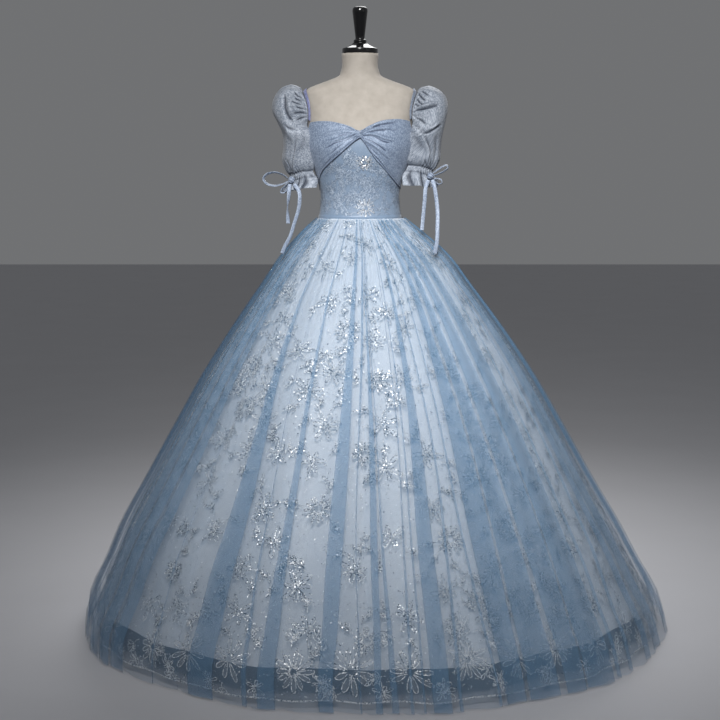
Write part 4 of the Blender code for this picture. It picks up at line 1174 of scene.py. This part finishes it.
waist_line = form_point(np.linspace(-math.pi, math.pi, 721), np.full(721, WAIST_SEAM))
WAIST_ANGLES = np.arctan2(waist_line[:, 0], -waist_line[:, 1])
WAIST_SHARES = np.hypot(waist_line[:, 0], waist_line[:, 1]) / float(form("half_width", WAIST_SEAM))


def skirt_place(turn, height, radius):
    """A point at a turn, height and radius, with the waist's oval section easing to a circle."""
    section = np.interp(turn, WAIST_ANGLES, WAIST_SHARES, period=2 * math.pi)
    roundness = ease((WAIST_SEAM - height) / ROUND_BELOW_WAIST)
    radius = radius * (section + (1 - section) * roundness)
    return stack(read(SKIRT_PROFILE, "shift", height) + radius * np.sin(turn), -radius * np.cos(turn), height)


def skirt_heights(hem, count):
    """Rows from the hem to the waist, closer together where the skirt springs out below the waist."""
    share = np.linspace(0, 1, count)
    return (hem + (SKIRT_TOP - hem) * (1 - (1 - share) ** 1.5))[:, None]


def waist_gathers(turn, below):
    """Many small folds that start at the waist seam and are gone 35 cm below it, each at its own length."""
    reach = 0.20 + 0.07 * np.sin(23 * turn) + 0.05 * np.sin(41 * turn + 1.0)
    strength = ease(below / 0.025) * bell(below, reach)
    return strength * (0.5 - 0.5 * np.cos(104 * turn + 2.2 * np.sin(5 * turn) + 1.1 * np.sin(17 * turn)))


# %% [markdown]
# ## The lining
# White satin, cut in gores with only as much fullness as soft folds need. It ends 9 cm above the floor.

# %% Lining
turns, heights = circle(560, -math.pi), skirt_heights(LINING_HEM_HEIGHT, 56)
own = depth_of("lining", heights) * uneven(turns)
gathers = waist_gathers(turns, WAIST_SEAM - heights)
radius = ridge_radius(2, turns, heights) - own * wave(LINING_FOLDS, 2, turns) - 0.0030 * gathers
grid = skirt_place(turns, heights, radius)
cloth("skirt_lining_satin", grid, white_satin, ["skirt_lining"], closed=True)

# %% [markdown]
# ## The tulle with the flowers
# Its surface is a function of the turn and the height, because the flowers are laid on it later with the
# same function.


# %% Flower tulle
def glitter_surface(turn, height, out):
    """The flower tulle's surface, moved straight out from the axis."""
    own = depth_of("glitter", height) * uneven(turn)
    return skirt_place(turn, height, ridge_radius(1, turn, height) - own * wave(GLITTER_FOLDS, 1, turn) + out)


grid = glitter_surface(circle(512, -math.pi), skirt_heights(GLITTER_HEM_HEIGHT, 60), 0.0)
cloth("skirt_flower_tulle", grid, base_tulle, ["skirt_glitter"], closed=True)

# %% [markdown]
# ## The outer tulle and its pleats
# Tulle is cut about twice as wide as the skirt and laid in flat pleats at the waist. At each pleat the
# cloth runs to the fold's edge, turns back under itself, and turns forward again, so three layers lie
# there and the blue is deep. Between pleats one layer lies over the flowers, as a pale window.
# So the tube's path round the skirt isn't a circle: its turn goes to and fro while its depth grows. A
# table places the pleats at the front, in degrees, at three heights, because pleats open and close on
# their way down. A rule places them elsewhere.

# %% Pleats
PLEAT_HEIGHTS = (0.95, 0.50, 0.06)
FRONT_PLEATS = rows(
    "high_start high_end start end low_start low_end",
    (-71.5, -66.6, -71.5, -66.4, -71.8, -67.3),
    (-66.5, -60.6, -66.3, -60.4, -67.2, -61.4),
    (-60.5, -54.4, -60.3, -55.4, -61.3, -56.4),
    (-54.2, -50.5, -55.2, -50.1, -56.2, -51.4),
    (-45.2, -44.7, -45.4, -44.6, -43.8, -42.6),
    (-41.6, -41.0, -40.4, -40.0, -37.7, -37.1),
    (-35.6, -33.4, -34.6, -28.9, -35.0, -28.4),
    (-26.6, -26.2, -24.6, -23.9, -23.5, -21.4),
    (-19.9, -18.6, -19.8, -17.5, -20.4, -16.6),
    (-7.6, -5.2, -9.4, -5.2, -10.0, -7.0),
    (-2.9, -0.9, -3.4, -2.8, -3.0, -2.4),
    (-0.7, 0.0, -0.2, 1.9, -0.5, 1.0),
    (0.3, 0.9, 2.1, 2.7, 1.9, 3.9),
    (7.9, 8.3, 7.4, 8.0, 5.2, 6.0),
    (9.2, 9.8, 9.0, 9.6, 7.4, 8.0),
    (13.0, 14.6, 10.5, 14.2, 8.9, 12.3),
    (16.9, 17.6, 17.0, 17.7, 13.3, 14.2),
    (21.1, 21.8, 20.4, 21.1, 20.5, 21.3),
    (25.2, 28.1, 22.8, 28.8, 22.1, 26.3),
    (29.9, 33.3, 29.1, 34.6, 26.8, 33.4),
    (35.3, 40.4, 35.2, 41.9, 34.6, 39.0),
    (42.6, 48.3, 42.2, 48.9, 39.5, 46.3),
    (52.4, 53.0, 51.6, 52.3, 48.0, 48.6),
    (59.0, 59.5, 58.4, 59.0, 52.6, 53.4),
    (63.4, 65.6, 62.6, 65.6, 60.0, 62.4),
    (66.0, 70.0, 67.0, 71.5, 66.0, 70.5),
)
LAST_FRONT_TURN, LAST_START, LAST_END = 71.5, 279.0, 286.0
THREAD_COLUMNS, THREAD_ROWS = 1800, 44


def all_pleats():
    """The front's pleats, then others round the sides and back whose widths, gaps and slants follow sines."""
    pleats, turn, count = list(FRONT_PLEATS), LAST_FRONT_TURN, 0
    while turn < LAST_START:
        wide = 3.4 + 2.6 * math.sin(1.9 * count + 0.4) * math.sin(0.7 * count + 1.0)
        apart = 3.6 + 3.0 * math.sin(1.3 * count + 1.0)
        start, end = turn + apart, turn + apart + wide
        slant = 1.1 * math.sin(2.3 * count)
        high_end, low_end = end + 0.8 * slant, end - 0.6 * slant
        if max(high_end, low_end) < LAST_END:
            pleats.append((start + slant, high_end, start, end, start - slant, low_end))
        turn, count = end, count + 1
    print(len(pleats), "pleats")
    return pleats


def pleated_path(pleats, heights):
    """Turns (rows x columns) and depths (0 outside, 1 inside) along the cloth: straight runs between the
    folds, cut up evenly, then rounded by a share of each neighbour. The three heights are joined smoothly."""
    table = np.array(pleats)
    after = np.concatenate((table[1:], table[:1] + 360))
    levels = []
    for first in (0, 2, 4):
        start, end, following = table[:, first], table[:, first + 1], after[:, first]
        knots = np.stack((end, start, end, end + 0.55 * (following - end)), axis=1).ravel()
        levels.append(np.append(knots, knots[0] + 360))
    depths = np.append(np.tile((0.0, 0.5, 1.0, 0.0), len(pleats)), 0.0)
    run = np.concatenate(([0], np.cumsum(np.abs(np.diff(levels[1])) + 1.0)))
    at = np.linspace(0, run[-1], THREAD_COLUMNS, endpoint=False)
    rounded = []
    for level, full_turn in zip(levels + [depths], (360.0, 360.0, 360.0, 0.0)):
        line = np.interp(at, run, level)
        before, behind = np.append(line[-1] - full_turn, line[:-1]), np.append(line[1:], line[0] + full_turn)
        rounded.append(0.25 * (before + behind) + 0.5 * line)
    turns = smooth(PLEAT_HEIGHTS[::-1], rounded[2::-1], heights[:, 0])
    return np.radians(turns), rounded[3]


# %% Outer tulle
heights = skirt_heights(HEM_HEIGHT, THREAD_ROWS)
path_turn, path_depth = pleated_path(all_pleats(), heights)
# The pleats wander a little on their way down, all together, so that they never cross.
wander = 0.006 * np.sin(4.1 * heights + 2 * path_turn) + 0.003 * np.sin(9.7 * heights + 5 * path_turn)
pleat_turn = path_turn + wander * ease((WAIST_SEAM - heights) / 0.3)
band = 2 * depth_of("outer", heights) * uneven(pleat_turn)
gathers = waist_gathers(pleat_turn, WAIST_SEAM - heights)
share = 0.55 * path_depth + 0.10 * wave(OUTER_FOLDS, 0, pleat_turn)
outer_radius = ridge_radius(0, pleat_turn, heights) - band * share + 0.0024 * gathers
grid = skirt_place(pleat_turn, heights, outer_radius)
cloth("skirt_outer_tulle", grid, outer_tulle, ["skirt_outer"], closed=True)

# %% [markdown]
# ## Glitter flowers
# A glue line is printed on the tulle and silver glitter is strewn on it. The motifs are open flowers of
# six to eight looped petals and daisies of twelve to fifteen, with sprigs of small loops round them. A
# petal is drawn here as a closed line in the cloth's own plane, given the glue line's width, and then laid
# on the skirt by the surface's function.


# %% Motif lines
def petal_lines(place, angle, start, length, width, steps=14):
    """Closed loops, narrow at the base and round at the tip: x = start + length (1 - cos t) / 2 and
    y = 0.62 width sin t sqrt(x's share), with a bend that grows with the square of the share."""
    t = np.linspace(0, 2 * math.pi, steps)
    share = (1 - np.cos(t)) / 2
    bend = 0.12 * np.sin(37 * angle)[:, None]
    x = start[:, None] + length[:, None] * share
    y = width[:, None] * 0.62 * np.sin(t) * np.sqrt(share + 0.03) + bend * length[:, None] * share**2
    cosine, sine = np.cos(angle)[:, None], np.sin(angle)[:, None]
    return place[:, None] + np.stack((x * cosine - y * sine, x * sine + y * cosine), axis=-1)


def stem_lines(place, angle, length, bend, steps=12):
    """Open curves that turn evenly by their bend."""
    t = np.linspace(0, 1, steps)[None, :]
    heading = angle[:, None] + bend[:, None] * t
    step = length[:, None] / (steps - 1)
    x, y = np.cumsum(np.cos(heading) * step, axis=1), np.cumsum(np.sin(heading) * step, axis=1)
    return place[:, None] + np.stack((x, y), axis=-1)


def strips(lines, width):
    """Two rails for each line, half the width to each side, as lines x points x rails x 2."""
    run = unit(np.gradient(lines, axis=1))
    aside = np.stack((-run[..., 1], run[..., 0]), axis=-1) * width / 2
    return np.stack((lines + aside, lines - aside), axis=2)


def fills(lines):
    """The inside of closed loops, as a ladder between their two sides."""
    half = lines.shape[1] // 2
    return np.stack((lines[:, :half], lines[:, ::-1][:, :half]), axis=2)


def strip_piece(name, points, material):
    """One piece from several groups of strips, whose points are given as lines x points x rails x 3."""
    places, faces, start = [], [], 0
    for group in points:
        lines, steps = group.shape[:2]
        first = start + (np.arange(lines) * steps * 2)[:, None] + 2 * np.arange(steps - 1)[None, :]
        faces.append(np.stack((first, first + 1, first + 3, first + 2), axis=-1).reshape(-1, 4))
        places.append(group.reshape(-1, 3))
        start += lines * steps * 2
    mesh = bpy.data.meshes.new(name)
    mesh.from_pydata(np.concatenate(places).tolist(), [], np.concatenate(faces).tolist())
    mesh.shade_smooth()
    print(f"{name}: {len(mesh.polygons)} faces")
    piece(name, mesh, material)


# %% Motif
LINE_WIDTH, STEM_WIDTH = 0.0024, 0.0018
random = np.random.default_rng(11)
OPEN_FLOWER, DAISY, HEM_FLOWER = rows(
    "petals centre length spread width",
    ((6, 9), 0.08, 0.80, 0.24, 0.24),
    ((12, 16), 0.24, 0.72, 0.10, 0.13),
    ((9, 13), 0.14, 0.72, 0.14, 0.20),
)


def flower(kind, reach):
    """Petals for flowers of the given reach: the flower each petal belongs to, and its loop. The centre, the
    petals' length, its spread and their width are shares of the reach."""
    counts = random.integers(*kind.petals, len(reach))
    owner = np.repeat(np.arange(len(reach)), counts)
    order = np.concatenate([np.arange(count) for count in counts])
    first = random.uniform(0, 2 * math.pi, len(reach))
    angle = first[owner] + 2 * math.pi * (order + random.normal(0, 0.13, len(owner))) / counts[owner]
    length = reach[owner] * (kind.length + random.uniform(-kind.spread, kind.spread, len(owner)))
    width = reach[owner] * kind.width * random.uniform(0.8, 1.2, len(owner))
    middle = np.zeros((len(owner), 2))
    return owner, petal_lines(middle, angle, reach[owner] * kind.centre, length, width)


def sprig(reach, stems_each, leaf_size):
    """Curved stems from each flower's edge, with loops in pairs along them."""
    owner = np.repeat(np.arange(len(reach)), stems_each)
    angle = random.uniform(0, 2 * math.pi, len(owner))
    place = np.stack((np.cos(angle), np.sin(angle)), axis=-1) * (reach[owner] * 0.95)[:, None]
    heading = angle + random.uniform(-0.5, 0.5, len(owner))
    length = random.uniform(0.030, 0.052, len(owner))
    bend = random.uniform(-2.0, 2.0, len(owner))
    stems = stem_lines(place, heading, length, bend)
    at = np.array((4, 6, 8, 11, 7, 5))
    base = stems[:, at].reshape(-1, 2)
    side = np.tile(np.array((0.9, -0.8, 0.7, 0.0, -0.7, -1.0)), len(owner))
    facing = np.repeat(heading, len(at)) + np.repeat(bend, len(at)) * np.tile(at / 11, len(owner)) + side
    size = leaf_size * random.uniform(0.75, 1.25, len(base))
    leaves = petal_lines(base, facing, size * 0.05, size, size * 0.42, 8)
    return owner, strips(stems, STEM_WIDTH), np.repeat(owner, len(at)), strips(leaves, STEM_WIDTH)


# %% [markdown]
# ## Flowers on the skirt
# The print repeats in staggered rows, about 11 cm apart across and 8 cm apart up the cloth, and is turned
# afresh each time. The gathers narrow it towards the waist. Most are open flowers of long loops, and every
# fifth is a daisy. Those at the front are listed one by one. Along the hem runs a border of flowers half as
# large again, whose nine to twelve petals are painted brighter: a copy of the glitter with more white flakes.

# %% Flower places
FRONT_FLOWERS = rows(
    "turn height",
    (-10.3, 1.05), (3.0, 1.085), (-27.8, 1.03), (17.0, 1.04), (1.0, 0.956), (-18.5, 0.94), (9.5, 0.915),
    (28.0, 0.95), (-8.5, 0.87), (2.6, 0.842), (16.5, 0.874), (-27.8, 0.82), (-12.3, 0.772), (3.6, 0.75),
    (12.0, 0.76), (-20.5, 0.725), (-12.8, 0.64), (4.6, 0.645), (-1.2, 0.577), (16.5, 0.571), (4.6, 0.545),
    (-15.4, 0.558), (-46.8, 0.483), (-12.3, 0.45), (15.5, 0.451), (-25.7, 0.44), (5.2, 0.388),
    (-21.6, 0.369), (19.0, 0.376), (-38.6, 0.376), (-3.1, 0.313), (-14.9, 0.275), (15.5, 0.262),
    (-46.8, 0.262), (-26.7, 0.21), (7.2, 0.212), (-12.3, 0.18), (53.5, 0.893), (53.5, 0.792), (54.0, 0.69),
    (55.0, 0.596), (54.0, 0.5), (66.9, 0.489), (51.5, 0.313), (60.7, 0.218),
)
BORDER_FRONT = (-46.3, -36.5, -26.7, -14.4, -4.1, 6.5, 17.5, 27.5, 36.5, 47.0, 58.6)
ACROSS, UPWARDS = 0.114, 0.076


def skirt_radius(height):
    return read(SKIRT_PROFILE, "radius", height)


def squeeze(height):
    """How much the gathers at the waist narrow the print."""
    return 0.62 + 0.38 * ease((WAIST_SEAM - height) / 0.35)


def flower_places():
    """Staggered rows up the slope, shaken a little, without those that would lie on a listed flower."""
    fine = np.linspace(0.16, 1.135, 800)
    slope = np.concatenate(([0], np.cumsum(np.hypot(np.diff(fine), np.diff(skirt_radius(fine))))))
    turns, heights = [], []
    for index, height in enumerate(np.interp(np.arange(0.02, slope[-1], UPWARDS), slope, fine)):
        count = int(2 * math.pi * skirt_radius(height) / (ACROSS * squeeze(height)))
        turns.append((np.arange(count) + 0.5 * (index % 2)) / count * 2 * math.pi - math.pi)
        heights.append(np.full(count, height))
    turns, heights = np.concatenate(turns), np.concatenate(heights)
    turns = turns + random.normal(0, 0.010, len(turns)) / skirt_radius(heights)
    heights = heights + random.normal(0, 0.010, len(heights))
    hand_turn, hand_height = np.radians(column(FRONT_FLOWERS, "turn")), column(FRONT_FLOWERS, "height")
    across, up = (turns[:, None] - hand_turn) * skirt_radius(hand_height), heights[:, None] - hand_height
    free = np.hypot(across, 1.15 * up).min(axis=1) > 0.090 * squeeze(heights)
    return np.concatenate((hand_turn, turns[free])), np.concatenate((hand_height, heights[free]))


def on_skirt(owner, flat, turn, height, out=0.0007):
    """Lays points of the cloth's plane on the flower tulle: across over the radius gives the turn, up along
    the slope gives the height."""
    turn, height = turn[owner], height[owner]
    step = 0.01
    lean = np.hypot(2 * step, skirt_radius(height + step) - skirt_radius(height - step)) / (2 * step)
    extra = (1,) * (flat.ndim - 2)
    turn, height, lean = (value.reshape(value.shape + extra) for value in (turn, height, lean))
    up = np.clip(height + flat[..., 1] / lean, GLITTER_HEM_HEIGHT + 0.002, 1.146)
    return glitter_surface(turn + flat[..., 0] * squeeze(height) / skirt_radius(height), up, out)


# %% Skirt flowers
turn, height = flower_places()
daisy = np.arange(len(turn)) % 5 == 3
groups, glint_fills = [], []
for kind, chosen, low, high in ((OPEN_FLOWER, ~daisy, 0.038, 0.048), (DAISY, daisy, 0.033, 0.040)):
    reach = random.uniform(low, high, chosen.sum())
    owner, loops = flower(kind, reach)
    groups.append(on_skirt(owner, strips(loops, LINE_WIDTH), turn[chosen], height[chosen]))
    if kind is DAISY:
        glint_fills.append(on_skirt(owner, fills(loops), turn[chosen], height[chosen], 0.0004))
print(len(turn), "flowers")
strip_piece("skirt_flowers", groups, silver_glitter)

stem_owner, stems, leaf_owner, leaves = sprig(np.full(len(turn), 0.040), 3, 0.013)
groups = [on_skirt(stem_owner, stems, turn, height), on_skirt(leaf_owner, leaves, turn, height)]
strip_piece("skirt_sprigs", groups, silver_glitter)

# %% Hem border
# The places at the front are followed by even ones round the sides and back.
others = np.arange(69.5, 306.0, 10.4)
turn = np.radians(np.concatenate((BORDER_FRONT, others)))
height = 0.096 + random.normal(0, 0.007, len(turn))
between = turn + math.radians(5.2)
low_height = 0.050 + random.normal(0, 0.006, len(turn))
reach = random.uniform(0.056, 0.066, len(turn))
owner, loops = flower(HEM_FLOWER, reach)
small_owner, small_loops = flower(OPEN_FLOWER, random.uniform(0.026, 0.034, len(turn)))
stem_owner, stems, leaf_owner, leaves = sprig(reach, 3, 0.022)
around = np.linspace(-math.pi, math.pi, 720)
edge = np.stack([glitter_surface(around, GLITTER_HEM_HEIGHT + up, 0.0007) for up in (0.0045, 0.0005)], axis=1)
groups = [
    on_skirt(owner, strips(loops, LINE_WIDTH), turn, height),
    on_skirt(small_owner, strips(small_loops, LINE_WIDTH), between, low_height),
    on_skirt(stem_owner, stems, turn, height),
    on_skirt(leaf_owner, leaves, turn, height),
    edge[None],
]
strip_piece("skirt_hem_flowers", groups, brighter_hem_glitter)
glint_fills.append(on_skirt(owner, fills(loops), turn, height, 0.0004))
# White veils inside the daisies' and the border flowers' petals: painted glints.
strip_piece("skirt_petal_glints", glint_fills, petal_glint_veil)

# %% [markdown]
# ### Loose glitter
# Single flakes stick between the flowers. Each is a small square, 2 to 3 mm across, laid flat on the tulle.

# %% Loose flakes
FLAKES = 12000
height = 1.13 - 1.11 * random.uniform(0, 1, FLAKES) ** 0.62
turn = random.uniform(-math.pi, math.pi, FLAKES)
size = random.uniform(0.0009, 0.0016, FLAKES)
squares = size[:, None, None, None] * np.array([[(-1, 1), (-1, -1)], [(1, 1), (1, -1)]])
groups = [on_skirt(np.arange(FLAKES), squares, turn, height)]
strip_piece("skirt_loose_flakes", groups, silver_glitter)

# %% [markdown]
# ## Flowers on the bodice
# The same print goes on the bodice, laid on the form's surface. Its places at the front are listed.

# %% Bodice flowers
BODICE_FLOWERS = rows(
    "across height reach",
    (0.0158, 1.18, 0.026), (0.0135, 1.303, 0.021), (0.0592, 1.17, 0.026), (-0.0136, 1.256, 0.026),
    (-0.0679, 1.29, 0.022), (-0.08, 1.23, 0.024), (0.0625, 1.245, 0.026), (-0.045, 1.19, 0.028),
    (0.098, 1.2, 0.022), (-0.018, 1.305, 0.02), (0.034, 1.298, 0.022), (-0.042, 1.272, 0.022),
    (0.026, 1.245, 0.024), (-0.088, 1.185, 0.022), (-0.016, 1.208, 0.024), (0.09, 1.238, 0.02),
)
BRIGHT = 2  # the first two take the silver glitter, whose white flakes are painted glints, brighter than the others
across, front_height, front_reach = np.array(BODICE_FLOWERS).T
back_turn, back_height = np.meshgrid(np.radians((112, 140, 166, -112, -140, -166)), (1.185, 1.262, 1.338))
back_turn = back_turn + np.radians(9) * np.array((-1, 1, -1))[:, None] * np.sign(back_turn)
back_height = back_height.ravel() + random.normal(0, 0.006, back_height.size)
turn = np.append(turn_at(across, front_height), back_turn)
height = np.append(front_height, back_height)
reach = np.append(front_reach, random.uniform(0.022, 0.028, len(back_height)))
BODICE_LINE = 0.0012


def on_bodice(owner, flat):
    """Lays points of the cloth's plane on the bodice, and drops the lines that leave it or reach the zip."""
    extra = (1,) * (flat.ndim - 2)
    base_turn, base_height = (value[owner].reshape((-1, *extra)) for value in (turn, height))
    at_turn, up = base_turn + flat[..., 0] / form("half_width", base_height), base_height + flat[..., 1]
    at_turn = np.angle(np.exp(1j * at_turn))
    beside_zip = np.abs(at_turn) < math.pi - 0.075
    top = np.where(np.abs(at_turn) < math.pi / 2, bodice_top(at_turn) - 0.006, 1.365)
    inside = (up > WAIST_SEAM + 0.002) & (up < top) & beside_zip
    keep = inside.reshape(len(inside), -1).all(axis=1)
    return form_surface(at_turn[keep], up[keep], OVERLAY_OUT + 0.0005)


owner, loops = flower(DAISY, reach)
stem_owner, stems, leaf_owner, leaves = sprig(reach, 4, 0.010)
rich, petals = owner < BRIGHT, strips(loops, BODICE_LINE)
groups = [on_bodice(owner[~rich], petals[~rich]), on_bodice(stem_owner, stems), on_bodice(leaf_owner, leaves)]
strip_piece("bodice_flowers", groups, bodice_glitter)
strip_piece("bodice_bright_flowers", [on_bodice(owner[rich], petals[rich])], silver_glitter)

# %% [markdown]
# ## The waist seam
# The skirt is sewn to the bodice with its raw edges turned in, which leaves a narrow ridge. It is a sheet of
# its own, 11 mm wide, that goes all round on the bodice's lower edge.

# %% Waist seam
share = np.linspace(-1, 1, 13)[:, None]
heights, out = WAIST_SEAM + 0.0040 + 0.0053 * share, 0.0040 + 0.0005 * bell(share, 0.4)
grid = form_surface(circle(300, -math.pi), heights, out)
cloth("waist_seam_piping", grid, blue_satin, [], closed=True)

# %% [markdown]
# ## Light and floor
# A soft key light stands in front and above. A honeycomb on it keeps its light within 46 degrees, so the
# skirt's foot and sides get less of it. A weak one fills the right, a small high one in front lets the foils
# flash, one with a honeycomb of 64 degrees lights the back, and the sky is pale. The floor is matt and pale.

# %% Floor
floor_paint, tree, shader = new_material("pale_matt_floor_paint", "#c6c6ca", 0.9)
place = add(tree, "TexCoord")
cloudy = add(tree, "TexNoise", {"Scale": 3.0, "Detail": 3.0}, {"Vector": place.outputs["Object"]})
shades = two_shades("#c3c3c7", "#c9c9cd")
add(tree, "Mix", shades, {"Factor": cloudy.outputs[0]}, shader["Base Color"], MIX_OUT)
FLOOR_REACH = 15
steps = np.linspace(-FLOOR_REACH, FLOOR_REACH, 7)
floor = put("floor", grid_mesh("floor", stack(steps, steps[:, None], 0.0)))
floor.data.materials.append(floor_paint)

# %% Lights
LAMPS = rows(
    "name place aim size spread power",
    ("key", (-0.1, -2.8, 2.8), (0.13, -0.25, 1.0), 1.0, 46, 9.9),
    ("fill", (3.2, -2.6, 2.2), (0, 0, 0.9), 2.0, 180, 1.5),
    ("high", (0.8, -2.9, 3.6), (0, -0.2, 0.9), 0.6, 180, 11),
    ("back", (0.6, 3.4, 3.6), (0, 0.3, 0.8), 2.4, 64, 9.5),
)
for lamp in LAMPS:
    light = bpy.data.lights.new(lamp.name, "AREA")
    light.shape, light.size, light.energy = "DISK", lamp.size, lamp.power
    light.spread = math.radians(lamp.spread)
    thing = put(lamp.name, light)
    x, y, z = np.array(lamp.aim) - np.array(lamp.place)
    thing.location = lamp.place
    thing.rotation_euler = (math.atan2(math.hypot(x, y), -z), 0, math.atan2(-x, y))

world = bpy.data.worlds.new("pale sky")
world.use_nodes = True
sky = world.node_tree.nodes["Background"].inputs
sky["Color"].default_value, sky["Strength"].default_value = linear("#e9ebee"), 0.20
scene = bpy.context.scene
scene.world = world
scene.view_settings.view_transform = "Standard"
scene.cycles.transparent_max_bounces = 24
